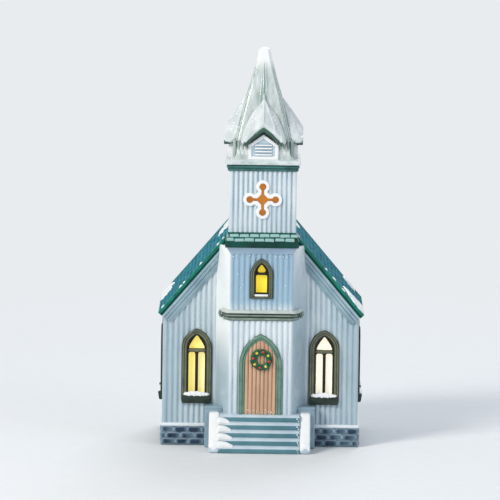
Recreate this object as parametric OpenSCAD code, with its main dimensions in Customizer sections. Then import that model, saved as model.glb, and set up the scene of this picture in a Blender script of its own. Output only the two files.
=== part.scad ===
// Lighted ceramic village church, in millimetres, +Z up, front towards -Y.
// The house frame has y = 0 at the outer face of the main front wall; place() then
// centres the whole part on the origin, with its foot rim at z = 0.

/* [Body] */
// Width over the side walls
body_w = 109; // [100:1:130]
// Depth from the front wall's face to the back wall's face
body_d = 72; // [70:1:90]
// Thickness of the cast ceramic walls
wall_t = 3.5; // [3:0.1:4]
// Height of the stone plinth
plinth_h = 12.2; // [10:0.1:15]
// How far the plinth stands out from the walls
plinth_out = 0.8; // [0.6:0.1:1.2]
// Thickness of the closed bottom
floor_t = 3.5; // [3:0.1:5]
// Height of the bottom above the foot rim
floor_rise = 1.5; // [1:0.1:3]
// Diameter of the casting hole in the bottom
drain_d = 30; // [20:1:36]
// Spacing of the siding boards
siding_pitch = 3.03; // [2.6:0.01:3.6]
// Depth of the grooves between siding boards
siding_groove = 0.45; // [0.3:0.05:0.6]

/* [Roof] */
// Height of the eaves, at the roof's upper face
eave_z = 74.4; // [70:0.1:85]
// Overhang of the eaves past the side walls
eave_out = 2.9; // [2.6:0.1:4]
// Slope of the roof in degrees
roof_pitch = 49.5; // [46:0.5:53]
// Thickness of the roof slabs
roof_t = 3; // [2.6:0.1:4]
// Overhang of the roof past the front and back walls
gable_out = 3; // [2.9:0.1:4]
// Length of shingle that shows in each course
course = 3.2; // [2.4:0.1:5]
// Step from one shingle course to the next
course_step = 0.5; // [0.3:0.05:0.8]
// Width of the moulding under the gable edges
rake_w = 6.6; // [5:0.1:8]

/* [Entrance bay] */
// Width of the bay's front face
bay_w = 34.8; // [34:0.1:36]
// Width of the bay where it meets the wall
bay_root_w = 50; // [48:0.5:54]
// How far the bay stands out from the wall
bay_out = 15; // [14:0.5:18]
// How far the bay's top lies below the roof beside the tower
bay_drop = 6.71; // [5:0.01:8]
// Width of the door leaf
door_w = 17.6; // [15:0.1:19]
// Height of the door leaf's point above the landing
door_h = 41.5; // [38:0.1:46]
// Height at which the door's arch springs, above the landing
door_spring = 27.6; // [25:0.1:32]
// Width of the door frame's face
door_frame_w = 3; // [2:0.1:3.5]
// Outer radius of the wreath
wreath_r = 6.4; // [5:0.1:7]

/* [Windows] */
// Width of the tall window openings
light_w = 9.4; // [8:0.1:10]
// Height of the tall window openings above the sill
light_h = 33; // [30:0.1:35]
// Height at which the tall windows' arches spring, above the sill
light_spring = 25.7; // [23:0.1:27]
// Width of the raised window frames
frame_w = 3.7; // [3:0.1:4]
// Height of the sills' upper face above the ground
sill_z = 28.7; // [26:0.1:32]
// Distance of the front windows from the middle of the front
front_window_x = 35.5; // [34.5:0.1:36.5]
// Width of the window bars
bar_w = 1.5; // [1:0.1:2]

/* [Tower] */
// Width of the square tower
tower_w = 37.4; // [37:0.1:38.5]
// Height of the tower's walls above the ridge
tower_rise = 13.59; // [10:0.01:22]
// Height of the skirt roof's upper edge above the bay
skirt_h = 8.5; // [7:0.1:10]
// How far the skirt roof stands out in front of the tower
skirt_out = 6; // [5:0.1:7]
// Height of the cornice on the tower
cornice_h = 6.3; // [5:0.1:8]
// How far the cornice stands out from the tower
cornice_out = 2.05; // [1.5:0.05:3]
// Distance of the cross's lobes from its middle
lobe_place = 7.1; // [6:0.1:7.5]

/* [Spire] */
// Height of the spire above the cornice
spire_h = 60.8; // [50:0.1:75]
// Width of the spire's blunt tip
spire_tip_w = 6; // [5:0.1:8]
// Thickness of the spire's walls
spire_t = 3; // [2.5:0.1:4]
// Distance of the gablets' fronts from the spire's axis
gablet_reach = 22; // [20:0.1:24]
// Width of the gablets over their eaves
gablet_w = 20.2; // [18:0.1:21]

/* [Steps] */
// Number of risers
risers = 5; // [4:1:6]
// Height of the landing
landing_h = 20; // [18:0.1:22]
// Depth of each tread
tread = 2.75; // [2.5:0.05:3.2]
// Width between the cheek walls
steps_w = 44.4; // [42:0.1:46]
// Width of each cheek wall
cheek_w = 6.1; // [5:0.1:7]

/* [Lamp] */
// Distance of the lamp from the middle of the back wall
lamp_x = 14; // [5:1:16]
// Height of the lamp above the ground
lamp_z = 38; // [36:0.5:42]
// Diameter of the lamp's hole in the back wall
lamp_hole_d = 29; // [28.6:0.1:32]
// Diameter of the socket's barrel
barrel_d = 22; // [20:0.1:22.4]
// Length of barrel inside the back wall's outer face
barrel_l = 20; // [19:0.5:24]
// Diameter of the bulb's screw cap
cap_d = 11.84; // [11.5:0.02:12]
// Largest diameter of the bulb's glass
glass_d = 21.6; // [18:0.1:22]
// Length of the bulb's glass
glass_l = 38; // [34:0.5:40]
// Diameter of the cord inlet
cord_hole_d = 6.4; // [5:0.1:7]

/* [Hidden] */
$fn = 48;

// Glaze colours
snow_white = [0.95, 0.97, 0.98];
ice_blue = [0.77, 0.85, 0.88];
roof_teal = [0.05, 0.47, 0.42];
trim_green = [0.25, 0.42, 0.36];
olive = [0.45, 0.46, 0.34];
door_tan = [0.82, 0.65, 0.52];
stone_grey = [0.42, 0.52, 0.58];
wreath_green = [0.02, 0.3, 0.16];
window_amber = [1, 0.83, 0.35];

// One overrun for every cut
cut = 1;

// House body
half_w = body_w / 2;
inner_x = half_w - wall_t;
tan_p = tan(roof_pitch);
cos_p = cos(roof_pitch);
eave_x = half_w + eave_out;
ridge_z = eave_z + eave_x * tan_p;
slope_l = eave_x / cos_p;
far_z = ridge_z + spire_h;

// Plinth stones
stone_courses = 3;
stone_l = 9;
stone_joint = 0.7;
stone_relief = 0.45;

// Entrance bay
bay_h = roof_over(tower_w / 2) - bay_drop;
bay_half = bay_w / 2;
bay_root = bay_root_w / 2;
splay_tan = (bay_root - bay_half) / bay_out;
splay_cos = cos(atan(splay_tan));
wing_x = bay_root - wall_t / splay_cos;
door_z = landing_h;
door_sunk = 1;
door_t = 1.6;
door_frame_t = 1.2;
door_frame_rise = 3.3;
plank_pitch = 2.2;
plank_groove = 0.4;
door_face_y = -bay_out + door_sunk - door_t;
wreath_tube = 1.95;
wreath_land = 1.5;
wreath_h = 30.5;
wreath_z = door_z + wreath_h;
wreath_mid_r = wreath_r - wreath_tube;
berry_r = 0.8;
berries = 8;
frieze_h = 2.9;
frieze_out = 1.2;
hood_z = 72.2;
hood_h = 5.9;
hood_out = 2.6;
hood_back_y = -9;
// Upper edge and projection of each of the hood's bands, from the lowest up
hood_band_shares = [[0.3, 0.4], [0.62, 0.7], [1, 1]];

// Windows
frame_t = 1.2;
bar_sunk = 0.4;
light_bar_h = 23.7;
bar_t = 2;
sill_h = 5.3;
sill_out = 2.6;
snow_t = 1.8;
pane_t = 0.4;
pane_lap = 2;
side_window_y_shares = [0.27, 0.73];
bay_light_w = 6.7;
bay_light_drop = 25.5;
bay_light_z = bay_h - bay_light_drop;
bay_light_h = 16.4;
bay_light_spring = 10.3;
bay_light_bar_h = 10.4;
bay_frame_w = 2.95;

// Roof
courses = floor(slope_l / course);
// Depth of each band under a gable edge, from the roof down
rake_band_shares = [1, 0.7, 0.42];
rake_set = 0.4;
rake_end_out = 1;
ridge_roll_r = 2.2;
// Patches of snow on the slopes: side, distance up from the eave, depth from the front,
// length up the slope and length along the eave, all as shares of the slope and the roof
snow_patch_shares = [
  [1, 0, 0.05, 0.2, 0.33],
  [1, 0.09, 0.83, 0.13, 0.15],
  [-1, 0, 0.6, 0.18, 0.37],
  [1, 0.67, 0.57, 0.24, 0.32],
  [-1, 0.61, 0.51, 0.23, 0.36]
];

// Tower
tower_half = tower_w / 2;
tower_top_z = ridge_z + tower_rise;
tower_inner = tower_half - wall_t;
tower_set = 2;
tower_front_y = -bay_out + tower_set;
tower_y = tower_front_y + tower_half;
skirt_z = bay_h;
skirt_top_z = skirt_z + skirt_h;
skirt_fascia = 2.8;
skirt_soffit = 1.4;
skirt_side_out = 1.65;
cross_drop = 15.8;
cross_z = tower_top_z - cross_drop;
lobe_r = 3.75;
lobe_hole_r = 1.95;
cross_heart = 3.9;
cross_neck = 1.6;
surround_t = 1.1;
// Cornice section, from its lower edge up: width past the tower, and height
cornice_shares = [[0, 0], [0.3, 0.12], [0.4, 0.38], [1, 0.5], [1, 0.8], [0.3, 1]];

// Spire
cornice_top_z = tower_top_z + cornice_h;
spire_top_z = cornice_top_z + spire_h;
spire_set = 0.9;
spire_base_w = tower_w - 2 * spire_set;
spire_corner = 3;
spire_tip_corner = 1.6;
slice = 0.01;
gablet_peak_h = 18.8;
gablet_eave_h = 10.8;
gablet_ridge_h = 34.2;
gablet_ridge_r = 9.6;
gablet_edge = 2.2;
gablet_peak_z = cornice_top_z + gablet_peak_h;
gablet_eave_z = cornice_top_z + gablet_eave_h;
gablet_ridge_z = cornice_top_z + gablet_ridge_h;
louvre_w = 16.8;
louvre_out = 0.3;
louvre_reach = tower_half + louvre_out;
louvre_wall_h = 7.9;
louvre_peak_h = 14.2;
louvre_slats = 4;
slat_h = 0.9;
slat_pitch = 1.7;
slat_w = 9;
slat_t = 0.6;

// Steps
rise = landing_h / risers;
landing_d = 3;
steps_front_y = -bay_out - landing_d - tread * (risers - 1);
pier_front_y = -9;
pier_in = 18.5;
pier_w = 12.3;
pier_h = 23.3;
cheek_in = steps_w / 2;
cheek_nose_h = 4.2;
cheek_back_h = 20.6;
step_snow_w = 7;
step_snow_t = 0.9;

// Lamp, along an axis parallel to Y
mouth_y = body_d - barrel_l;
collar_d = 36;
collar_t = 2.5;
collar_gap = 0.1;
boss_d = 16;
boss_l = 9.4;
shell_clear = 0.08;
shell_t = 0.5;
shell_l = 13.5;
cap_l = 11.5;
cap_wall = 0.5;
cap_seat = 0.3;
contact_r = 2.4;
contact_t = 1.6;
tongue_w = 4;
tongue_t = 0.5;
tongue_gap = 0.15;
socket_web = 5;
band_t = 0.6;
band_w = 5;
band_set = 1.5;
band_y = mouth_y + band_set;
band_clear = 0.05;
leaf_t = 0.4;
leaf_w = 8;
leaf_gap = 0.1;
leaf_clear = 0.3;
leaf_crown_in = 2.5;
leaf_tail_set = 0.6;
leaf_tail_in = 0.4;
leaf_root_y = band_y + band_w + leaf_gap;
leaf_crown_y = body_d - wall_t - leaf_crown_in;
leaf_tail_y = body_d - leaf_tail_set;
glass_t = 0.7;
glass_neck_r = 5.3;
stem_r = 3.2;
stem_l = 13;
stem_flare = 1.5;
filament_r = 0.3;
filament_span = 7;
filament_rise = 9;
wire_r = 0.3;
cap_r = cap_d / 2;
barrel_r = barrel_d / 2;
shell_in = cap_r + shell_clear;
shell_out = shell_in + shell_t;
collar_y = body_d + collar_gap;
web_y = collar_y + collar_t - socket_web;
contact_y = mouth_y + cap_seat + cap_l;
tongue_y = contact_y + contact_t + tongue_gap;
stem_foot_y = mouth_y + cap_l / 4;
band_out = barrel_r + band_clear + band_t;
// The leaf's corners clear the hole that the lamp slides out through
leaf_crown = sqrt(pow(lamp_hole_d / 2 - leaf_clear, 2) - pow(leaf_w / 2, 2));
// Glass outline as shares of its length from the cap and of its largest radius
glass_shares = [
  [0.04, 0.56], [0.12, 0.74], [0.22, 0.9], [0.34, 0.99], [0.42, 1], [0.52, 0.97],
  [0.64, 0.86], [0.75, 0.7], [0.85, 0.5], [0.93, 0.3], [0.98, 0.13], [1, 0]
];

back_y = body_d + collar_gap + collar_t + boss_l;
mid_y = (steps_front_y + back_y) / 2;

// Half width of the bay's outline, grown by d, at depth y
function bay_x(y, d) = bay_half + (y + bay_out) * splay_tan + d / splay_cos;
// Height of the roof's upper and lower faces at x
function roof_over(x) = ridge_z - abs(x) * tan_p;
function roof_under(x) = roof_over(x) - roof_t / cos_p;

module place() translate([0, -mid_y, 0]) children();
module both() {
  children();
  mirror([1, 0, 0]) children();
}
// Moves a shape that is drawn from the ridge down the right-hand slope
module on_roof() translate([0, 0, ridge_z]) rotate([0, roof_pitch, 0]) children();
// Turns a shape that is drawn in x and z, and extrudes it backwards from y
module upright(y, depth) {
  translate([0, y + depth, 0]) rotate([90, 0, 0]) linear_extrude(depth) children();
}

// Pointed arch with its foot at the origin
module lancet(w, h, spring) {
  peak = h - spring;
  r = (peak * peak + w * w / 4) / w;
  translate([-w / 2, 0]) square([w, spring]);
  intersection() {
    translate([r - w / 2, spring]) circle(r, $fn = 96);
    translate([w / 2 - r, spring]) circle(r, $fn = 96);
    translate([-w / 2, spring]) square([w, h]);
  }
}

// Wall section in plan: grooved outer face at y = 0, flat inner face at wall_t
module siding_plan(x0, x1, pitch, groove, t) {
  board = pitch / 2;
  slant = groove / 2;
  first = ceil((x0 + board) / pitch);
  last = floor((x1 - board) / pitch);
  polygon([
    [x0, t], [x0, 0],
    for (i = [first:last]) each [
      [i * pitch - board / 2, 0],
      [i * pitch - board / 2 + slant, groove],
      [i * pitch + board / 2 - slant, groove],
      [i * pitch + board / 2, 0]
    ],
    [x1, 0], [x1, t]
  ]);
}
module siding(x0, x1, z0, z1) {
  translate([0, 0, z0]) linear_extrude(z1 - z0) {
    siding_plan(x0, x1, siding_pitch, siding_groove, wall_t);
  }
}

// Space between the roof's lower face and far above it, over a range of y
module above_roof_under(y0, y1) {
  upright(y0, y1 - y0) polygon([
    [-eave_x, roof_under(eave_x)], [0, roof_under(0)], [eave_x, roof_under(eave_x)],
    [eave_x, far_z], [-eave_x, far_z]
  ]);
}
// Space under the roof's upper face
module below_roof_over(y0, y1) {
  upright(y0, y1 - y0) polygon([
    [-eave_x, roof_over(eave_x)], [0, roof_over(0)], [eave_x, roof_over(eave_x)],
    [eave_x, 0], [-eave_x, 0]
  ]);
}
module bay_outline(d) polygon([
  [-bay_x(-bay_out - d, d), -bay_out - d], [bay_x(-bay_out - d, d), -bay_out - d],
  [bay_x(0, d), 0], [-bay_x(0, d), 0]
]);
module bay_hollow() polygon([
  [-bay_x(wall_t - bay_out, -wall_t), wall_t - bay_out],
  [bay_x(wall_t - bay_out, -wall_t), wall_t - bay_out],
  [bay_x(0, -wall_t), 0], [-bay_x(0, -wall_t), 0]
]);

// Plinth

// Bar of masonry along x, its outer face towards -y, its stones in running bond
module masonry(x0, x1, face_y, back) {
  course_h = plinth_h / stone_courses;
  translate([x0, face_y + stone_relief, 0]) {
    cube([x1 - x0, back - face_y - stone_relief, plinth_h]);
  }
  for (row = [0:stone_courses - 1]) {
    start = floor(x0 / stone_l) * stone_l + (row % 2) * stone_l / 2;
    for (x = [start - stone_l:stone_l:x1]) {
      left = max(x, x0) + stone_joint / 2;
      right = min(x + stone_l, x1) - stone_joint / 2;
      if (right - left > stone_joint) {
        translate([left, face_y, row * course_h + stone_joint / 2]) {
          cube([right - left, stone_relief * 2, course_h - stone_joint]);
        }
      }
    }
  }
}
module foundation_front(side) {
  pier_edge = pier_in + pier_w;
  mirror([side < 0 ? 1 : 0, 0, 0]) {
    masonry(pier_edge, half_w + plinth_out, -plinth_out, wall_t);
    translate([wing_x, 0, 0]) cube([pier_edge - wing_x + stone_joint, wall_t, plinth_h]);
  }
}
module foundation_side(side) {
  mirror([side < 0 ? 1 : 0, 0, 0]) translate([half_w, 0, 0]) rotate([0, 0, 90]) {
    masonry(wall_t, body_d - wall_t, -plinth_out, wall_t);
  }
}
module foundation_front_left() place() color(stone_grey) foundation_front(-1);
module foundation_front_right() place() color(stone_grey) foundation_front(1);
module foundation_left() place() color(stone_grey) foundation_side(-1);
module foundation_right() place() color(stone_grey) foundation_side(1);
module foundation_back() place() color(stone_grey) {
  translate([0, body_d, 0]) rotate([0, 0, 180]) {
    masonry(-half_w - plinth_out, half_w + plinth_out, -plinth_out, wall_t);
  }
}
module base_floor() place() color(snow_white) difference() {
  translate([0, 0, floor_rise]) linear_extrude(floor_t) union() {
    translate([-inner_x, wall_t]) square([2 * inner_x, body_d - 2 * wall_t]);
    bay_hollow();
    translate([-wing_x, 0]) square([2 * wing_x, wall_t]);
  }
  translate([0, body_d / 2, floor_rise - cut]) cylinder(d = drain_d, h = floor_t + 2 * cut);
}

// Walls

// Opening of a tall window, cut right through a wall whose face is y = 0
module light_cut() upright(-cut, wall_t + 2 * cut) translate([0, sill_z]) {
  lancet(light_w, light_h, light_spring);
}
module front_wing() difference() {
  intersection() {
    siding(wing_x, half_w, plinth_h, ridge_z);
    upright(-cut, wall_t + 2 * cut) polygon([
      [wing_x, 0], [half_w, 0], [half_w, roof_under(half_w)], [wing_x, roof_under(wing_x)]
    ]);
  }
  translate([front_window_x, 0, 0]) light_cut();
}
module front_wall_right() place() color(ice_blue) front_wing();
module front_wall_left() place() color(ice_blue) mirror([1, 0, 0]) front_wing();

module back_wall() place() color(ice_blue) difference() {
  intersection() {
    translate([0, body_d, 0]) rotate([0, 0, 180]) siding(-half_w, half_w, plinth_h, ridge_z);
    upright(body_d - wall_t - cut, wall_t + 2 * cut) polygon([
      [-half_w, 0], [half_w, 0], [half_w, roof_under(half_w)], [0, roof_under(0)],
      [-half_w, roof_under(half_w)]
    ]);
  }
  translate([lamp_x, body_d + cut, lamp_z]) rotate([90, 0, 0]) {
    cylinder(d = lamp_hole_d, h = wall_t + 2 * cut);
  }
}

// Stands each window part of a side wall in its place on the right-hand wall
module at_side_windows() for (share = side_window_y_shares) {
  translate([half_w, body_d * share, 0]) rotate([0, 0, 90]) children();
}
module side_wall() difference() {
  intersection() {
    translate([half_w, 0, 0]) rotate([0, 0, 90]) {
      siding(wall_t, body_d - wall_t, plinth_h, ridge_z);
    }
    upright(wall_t, body_d - 2 * wall_t) polygon([
      [inner_x, 0], [half_w, 0], [half_w, roof_under(half_w)], [inner_x, roof_under(inner_x)]
    ]);
  }
  at_side_windows() light_cut();
}
module right_wall() place() color(ice_blue) side_wall();
module left_wall() place() color(ice_blue) mirror([1, 0, 0]) side_wall();

// Entrance bay

module bay_front() place() color(ice_blue) difference() {
  translate([0, -bay_out, 0]) linear_extrude(bay_h) intersection() {
    siding_plan(-bay_half, bay_half, siding_pitch, siding_groove, wall_t);
    translate([0, bay_out]) difference() {
      bay_outline(0);
      bay_side_strip();
      mirror([1, 0]) bay_side_strip();
    }
  }
  upright(-bay_out - cut, door_sunk + cut) translate([0, door_z]) {
    lancet(door_w, door_h, door_spring);
  }
  upright(-bay_out - cut, wall_t + 2 * cut) translate([0, bay_light_z]) {
    lancet(bay_light_w, bay_light_h, bay_light_spring);
  }
}
// Plan of one splayed side of the bay
module bay_side_strip() polygon([
  [bay_half, -bay_out], [bay_root, 0], [wing_x, 0],
  [bay_x(wall_t - bay_out, -wall_t), wall_t - bay_out]
]);
module bay_side() difference() {
  linear_extrude(bay_h) bay_side_strip();
  above_roof_under(-gable_out, cut);
}
module bay_side_right() place() color(ice_blue) bay_side();
module bay_side_left() place() color(ice_blue) mirror([1, 0, 0]) bay_side();

// Sloping moulding under the skirt roof
module bay_frieze() place() color(ice_blue) {
  half = bay_x(-bay_out, frieze_out);
  intersection() {
    translate([half, 0, 0]) rotate([90, 0, -90]) linear_extrude(2 * half) polygon([
      [bay_out, bay_h - frieze_h], [bay_out, bay_h], [bay_out + frieze_out, bay_h],
      [bay_out + frieze_out, bay_h - frieze_h / 3]
    ]);
    upright(-bay_out - frieze_out - cut, frieze_out + 2 * cut) polygon([
      [-bay_half, bay_h - frieze_h], [bay_half, bay_h - frieze_h], [half, bay_h], [-half, bay_h]
    ]);
  }
}

module door() place() color(door_tan) {
  intersection() {
    translate([0, -bay_out + door_sunk - door_t, door_z]) linear_extrude(door_h) {
      siding_plan(-door_w / 2, door_w / 2, plank_pitch, plank_groove, door_t);
    }
    upright(-bay_out - cut, wall_t) translate([0, door_z]) lancet(door_w, door_h, door_spring);
  }
}
module door_frame() place() color(trim_green) {
  upright(-bay_out - door_frame_t, door_frame_t) difference() {
    translate([0, door_z]) lancet(door_w + 2 * door_frame_w, door_h + door_frame_rise, door_spring);
    translate([0, door_z]) lancet(door_w, door_h, door_spring);
  }
}
// Half-round ring with a narrow flat land in front, which the berries sit on
module wreath() place() color(wreath_green) translate([0, door_face_y, wreath_z]) {
  rotate([90, 0, 0]) rotate_extrude($fn = 64) intersection() {
    translate([wreath_mid_r, 0]) circle(wreath_tube);
    square([wreath_r, wreath_land]);
  }
}
module wreath_berries() place() for (i = [0:berries - 1]) {
  a = 360 * i / berries;
  color(i % 2 == 0 ? "gold" : "crimson") {
    translate([wreath_mid_r * cos(a), door_face_y - wreath_land, wreath_z + wreath_mid_r * sin(a)]) {
      rotate([90, 0, 0]) rotate_extrude($fn = 32) intersection() {
        circle(berry_r);
        square(berry_r);
      }
    }
  }
}

// Banded hood over the door, wrapped round the bay
module hood_moulding() place() color(olive) difference() {
  for (i = [0:len(hood_band_shares) - 1]) {
    below = hood_h * (i == 0 ? 0 : hood_band_shares[i - 1][0]);
    above = hood_h * hood_band_shares[i][0];
    translate([0, 0, hood_z + below]) linear_extrude(above - below) intersection() {
      bay_outline(hood_out * hood_band_shares[i][1]);
      translate([-bay_root_w, -2 * bay_out]) square([2 * bay_root_w, 2 * bay_out + hood_back_y]);
    }
  }
  translate([0, 0, hood_z - cut]) linear_extrude(bay_h) bay_outline(0);
}

// Windows

// Raised frame with its bars, on a wall whose face is y = 0
module window_frame(w, h, spring, grow, bar_h, upright_bar) {
  upright(-frame_t, frame_t) difference() {
    lancet(w + 2 * grow, h + grow, spring);
    lancet(w, h, spring);
  }
  upright(bar_sunk, bar_t) intersection() {
    lancet(w, h, spring);
    union() {
      translate([-w / 2, bar_h]) square([w, bar_w]);
      if (upright_bar) translate([-bar_w / 2, 0]) square([bar_w, bar_h + bar_w]);
    }
  }
}
module tall_frame() translate([0, 0, sill_z]) {
  window_frame(light_w, light_h, light_spring, frame_w, light_bar_h, true);
}
module front_window_frames() place() color(olive) both() {
  translate([front_window_x, 0, 0]) tall_frame();
}
module side_window_frames() place() color(olive) both() at_side_windows() tall_frame();
module bay_window_frame() place() color(olive) translate([0, -bay_out, bay_light_z]) {
  window_frame(bay_light_w, bay_light_h, bay_light_spring, bay_frame_w, bay_light_bar_h, false);
  sill_w = bay_light_w + 2 * bay_frame_w;
  translate([-sill_w / 2, -frame_t * 1.5, -bay_frame_w]) cube([sill_w, frame_t * 1.5, bay_frame_w]);
}
module sill() {
  w = light_w + 2 * frame_w;
  translate([-w / 2, -sill_out, sill_z - sill_h]) cube([w, sill_out, sill_h]);
}
// Snow lying on a sill, with a curved back
module snow_on_sill() {
  w = light_w + frame_w;
  translate([-w / 2, -frame_t, sill_z]) rotate([0, 90, 0]) linear_extrude(w) intersection() {
    translate([0, 0]) scale([snow_t, sill_out - frame_t]) circle(1);
    translate([-snow_t, -sill_out]) square([snow_t, sill_out]);
  }
}
module window_sills() place() color(olive) both() {
  translate([front_window_x, 0, 0]) sill();
  at_side_windows() sill();
}
module sill_snow() place() color(snow_white) both() {
  translate([front_window_x, 0, 0]) snow_on_sill();
  at_side_windows() snow_on_sill();
}
// Translucent film, glued behind a tall window
module tall_pane() upright(wall_t, pane_t) translate([0, sill_z - pane_lap]) {
  lancet(light_w + 2 * pane_lap, light_h + 2 * pane_lap, light_spring + pane_lap);
}
module front_window_panes() place() color(window_amber) both() {
  translate([front_window_x, 0, 0]) tall_pane();
}
module side_window_panes() place() color(window_amber) both() at_side_windows() tall_pane();
module bay_window_pane() place() color(window_amber) {
  upright(wall_t - bay_out, pane_t) translate([0, bay_light_z - pane_lap]) {
    lancet(bay_light_w + 2 * pane_lap, bay_light_h + 2 * pane_lap, bay_light_spring + pane_lap);
  }
}

// Roof

module roof_slab(y0, y1) {
  first = slope_l - courses * course;
  intersection() {
    on_roof() translate([0, y1, 0]) rotate([90, 0, 0]) linear_extrude(y1 - y0) polygon([
      [-roof_t, -roof_t], [-roof_t, -course_step], [first, 0], [first, -course_step],
      for (i = [1:courses]) each [
        [first + i * course, 0],
        if (i < courses) [first + i * course, -course_step]
      ],
      [slope_l, -roof_t]
    ]);
    translate([0, y0 - cut, 0]) cube([2 * eave_x, y1 - y0 + 2 * cut, 2 * ridge_z]);
  }
}
module tower_hollow() translate([-tower_inner, tower_y - tower_inner, 0]) {
  cube([2 * tower_inner, 2 * tower_inner, far_z]);
}
module roof_half() difference() {
  roof_slab(-gable_out, body_d + gable_out);
  tower_hollow();
}
module roof_right() place() color(roof_teal) roof_half();
module roof_left() place() color(roof_teal) mirror([1, 0, 0]) roof_half();

// Three bands under a gable edge, the nearest to the roof the deepest
module rake() intersection() {
  band = rake_w / len(rake_band_shares);
  for (i = [0:len(rake_band_shares) - 1]) {
    depth = (gable_out - rake_set) * rake_band_shares[i];
    on_roof() translate([0, -depth, -roof_t - (i + 1) * band]) cube([slope_l, depth, band]);
  }
  translate([slice, -gable_out, 0]) cube([half_w + rake_end_out - slice, gable_out, ridge_z]);
}
module front_rake() difference() {
  rake();
  translate([0, 0, -cut]) linear_extrude(far_z) bay_outline(0);
}
module rake_moulding_right() place() color(ice_blue) front_rake();
module rake_moulding_left() place() color(ice_blue) mirror([1, 0, 0]) front_rake();
module rear_rakes() place() color(ice_blue) both() {
  translate([0, body_d, 0]) mirror([0, 1, 0]) rake();
}

module ridge_roll() place() color(snow_white) difference() {
  y0 = tower_y + tower_half;
  translate([0, y0, ridge_z]) rotate([-90, 0, 0]) cylinder(r = ridge_roll_r, h = body_d + gable_out - y0);
  below_roof_over(y0 - cut, body_d + gable_out + cut);
}

module roof_snow() place() color(snow_white) {
  roof_l = body_d + 2 * gable_out;
  for (p = snow_patch_shares) mirror([p[0] < 0 ? 1 : 0, 0, 0]) on_roof() {
    translate([slope_l * (1 - p[1] - p[3]), roof_l * p[2] - gable_out, 0]) {
      cube([slope_l * p[3], roof_l * p[4], snow_t / 2]);
    }
  }
}

// Tower

module square_tube(outer, inner, z0, z1) translate([0, tower_y, z0]) linear_extrude(z1 - z0) {
  difference() {
    square(2 * outer, center = true);
    square(2 * inner, center = true);
  }
}
module tower_skirt() place() color(roof_teal) {
  front_y = tower_front_y - skirt_out;
  side = tower_half + skirt_side_out;
  fascia_z = skirt_z + skirt_soffit;
  difference() {
    intersection() {
      translate([side, 0, 0]) rotate([90, 0, -90]) linear_extrude(2 * side) polygon([
        [gable_out, skirt_z], [gable_out, skirt_top_z], [-tower_front_y, skirt_top_z],
        [-front_y, fascia_z + skirt_fascia], [-front_y, fascia_z],
        [bay_out + frieze_out, skirt_z]
      ]);
      upright(front_y - cut, -front_y) polygon([
        [-side, skirt_z], [side, skirt_z], [side, fascia_z + skirt_fascia],
        [tower_half, skirt_top_z], [-tower_half, skirt_top_z], [-side, fascia_z + skirt_fascia]
      ]);
    }
    tower_hollow();
  }
}

// Pierced cross: a diamond heart with four round holes joined to it
module cross_hole() {
  rotate(45) square(cross_heart * sqrt(2), center = true);
  for (a = [0:90:270]) rotate(a) {
    translate([lobe_place, 0]) circle(lobe_hole_r);
    translate([0, -cross_neck / 2]) square([lobe_place, cross_neck]);
  }
}
module cross_outline() {
  for (a = [0:90:270]) rotate(a) translate([lobe_place, 0]) circle(lobe_r);
  rotate(45) square(lobe_place * sqrt(2), center = true);
}
module tower_shaft() place() color(ice_blue) difference() {
  translate([0, tower_y, roof_over(tower_half) - cut]) {
    linear_extrude(tower_top_z - roof_over(tower_half) + cut) difference() {
      intersection_for(a = [0:90:270]) rotate(a) translate([0, -tower_half]) {
        siding_plan(-tower_half, tower_half, siding_pitch, siding_groove, tower_w);
      }
      square(2 * tower_inner, center = true);
    }
  }
  below_roof_over(-gable_out, body_d);
  translate([-tower_w, tower_front_y - cut, 0]) {
    cube([2 * tower_w, -tower_front_y - gable_out + cut, skirt_top_z]);
  }
  upright(tower_front_y - cut, wall_t + 2 * cut) translate([0, cross_z]) cross_hole();
}
module quatrefoil_surround() place() color(snow_white) {
  upright(tower_front_y - surround_t, surround_t) translate([0, cross_z]) difference() {
    cross_outline();
    cross_hole();
  }
}
module quatrefoil_pane() place() color(window_amber) {
  side = 2 * (lobe_place + lobe_hole_r + pane_lap);
  upright(tower_front_y + wall_t, pane_t) translate([0, cross_z]) square(side, center = true);
}

module cornice_band() upright(tower_y - tower_w, 2 * tower_w) polygon([
  for (p = cornice_shares) [tower_half + cornice_out * p[0], tower_top_z + cornice_h * p[1]],
  for (i = [len(cornice_shares) - 1:-1:0]) [
    -tower_half - cornice_out * cornice_shares[i][0],
    tower_top_z + cornice_h * cornice_shares[i][1]
  ]
]);
module quarter_turn() translate([0, tower_y, 0]) rotate([0, 0, 90]) translate([0, -tower_y, 0]) {
  children();
}
module tower_cornice() place() color(trim_green) difference() {
  intersection() {
    cornice_band();
    quarter_turn() cornice_band();
  }
  tower_hollow();
}

// Square with cut corners
module spire_section(w, corner) {
  h = w / 2;
  c = h - corner;
  polygon([[h, -c], [h, c], [c, h], [-c, h], [-h, c], [-h, -c], [-c, -h], [c, -h]]);
}
module spire_body(in, z0, z1) translate([0, tower_y, 0]) hull() {
  translate([0, 0, z0]) linear_extrude(slice) spire_section(spire_base_w - 2 * in, spire_corner);
  translate([0, 0, z1 - slice]) linear_extrude(slice) {
    spire_section(spire_tip_w - 2 * min(in, spire_tip_w / 3), spire_tip_corner / (in > 0 ? 3 : 1));
  }
}
module spire() place() color(snow_white) difference() {
  spire_body(0, cornice_top_z, spire_top_z);
  spire_body(spire_t, cornice_top_z - slice, spire_top_z - 3 * spire_t);
}

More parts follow.
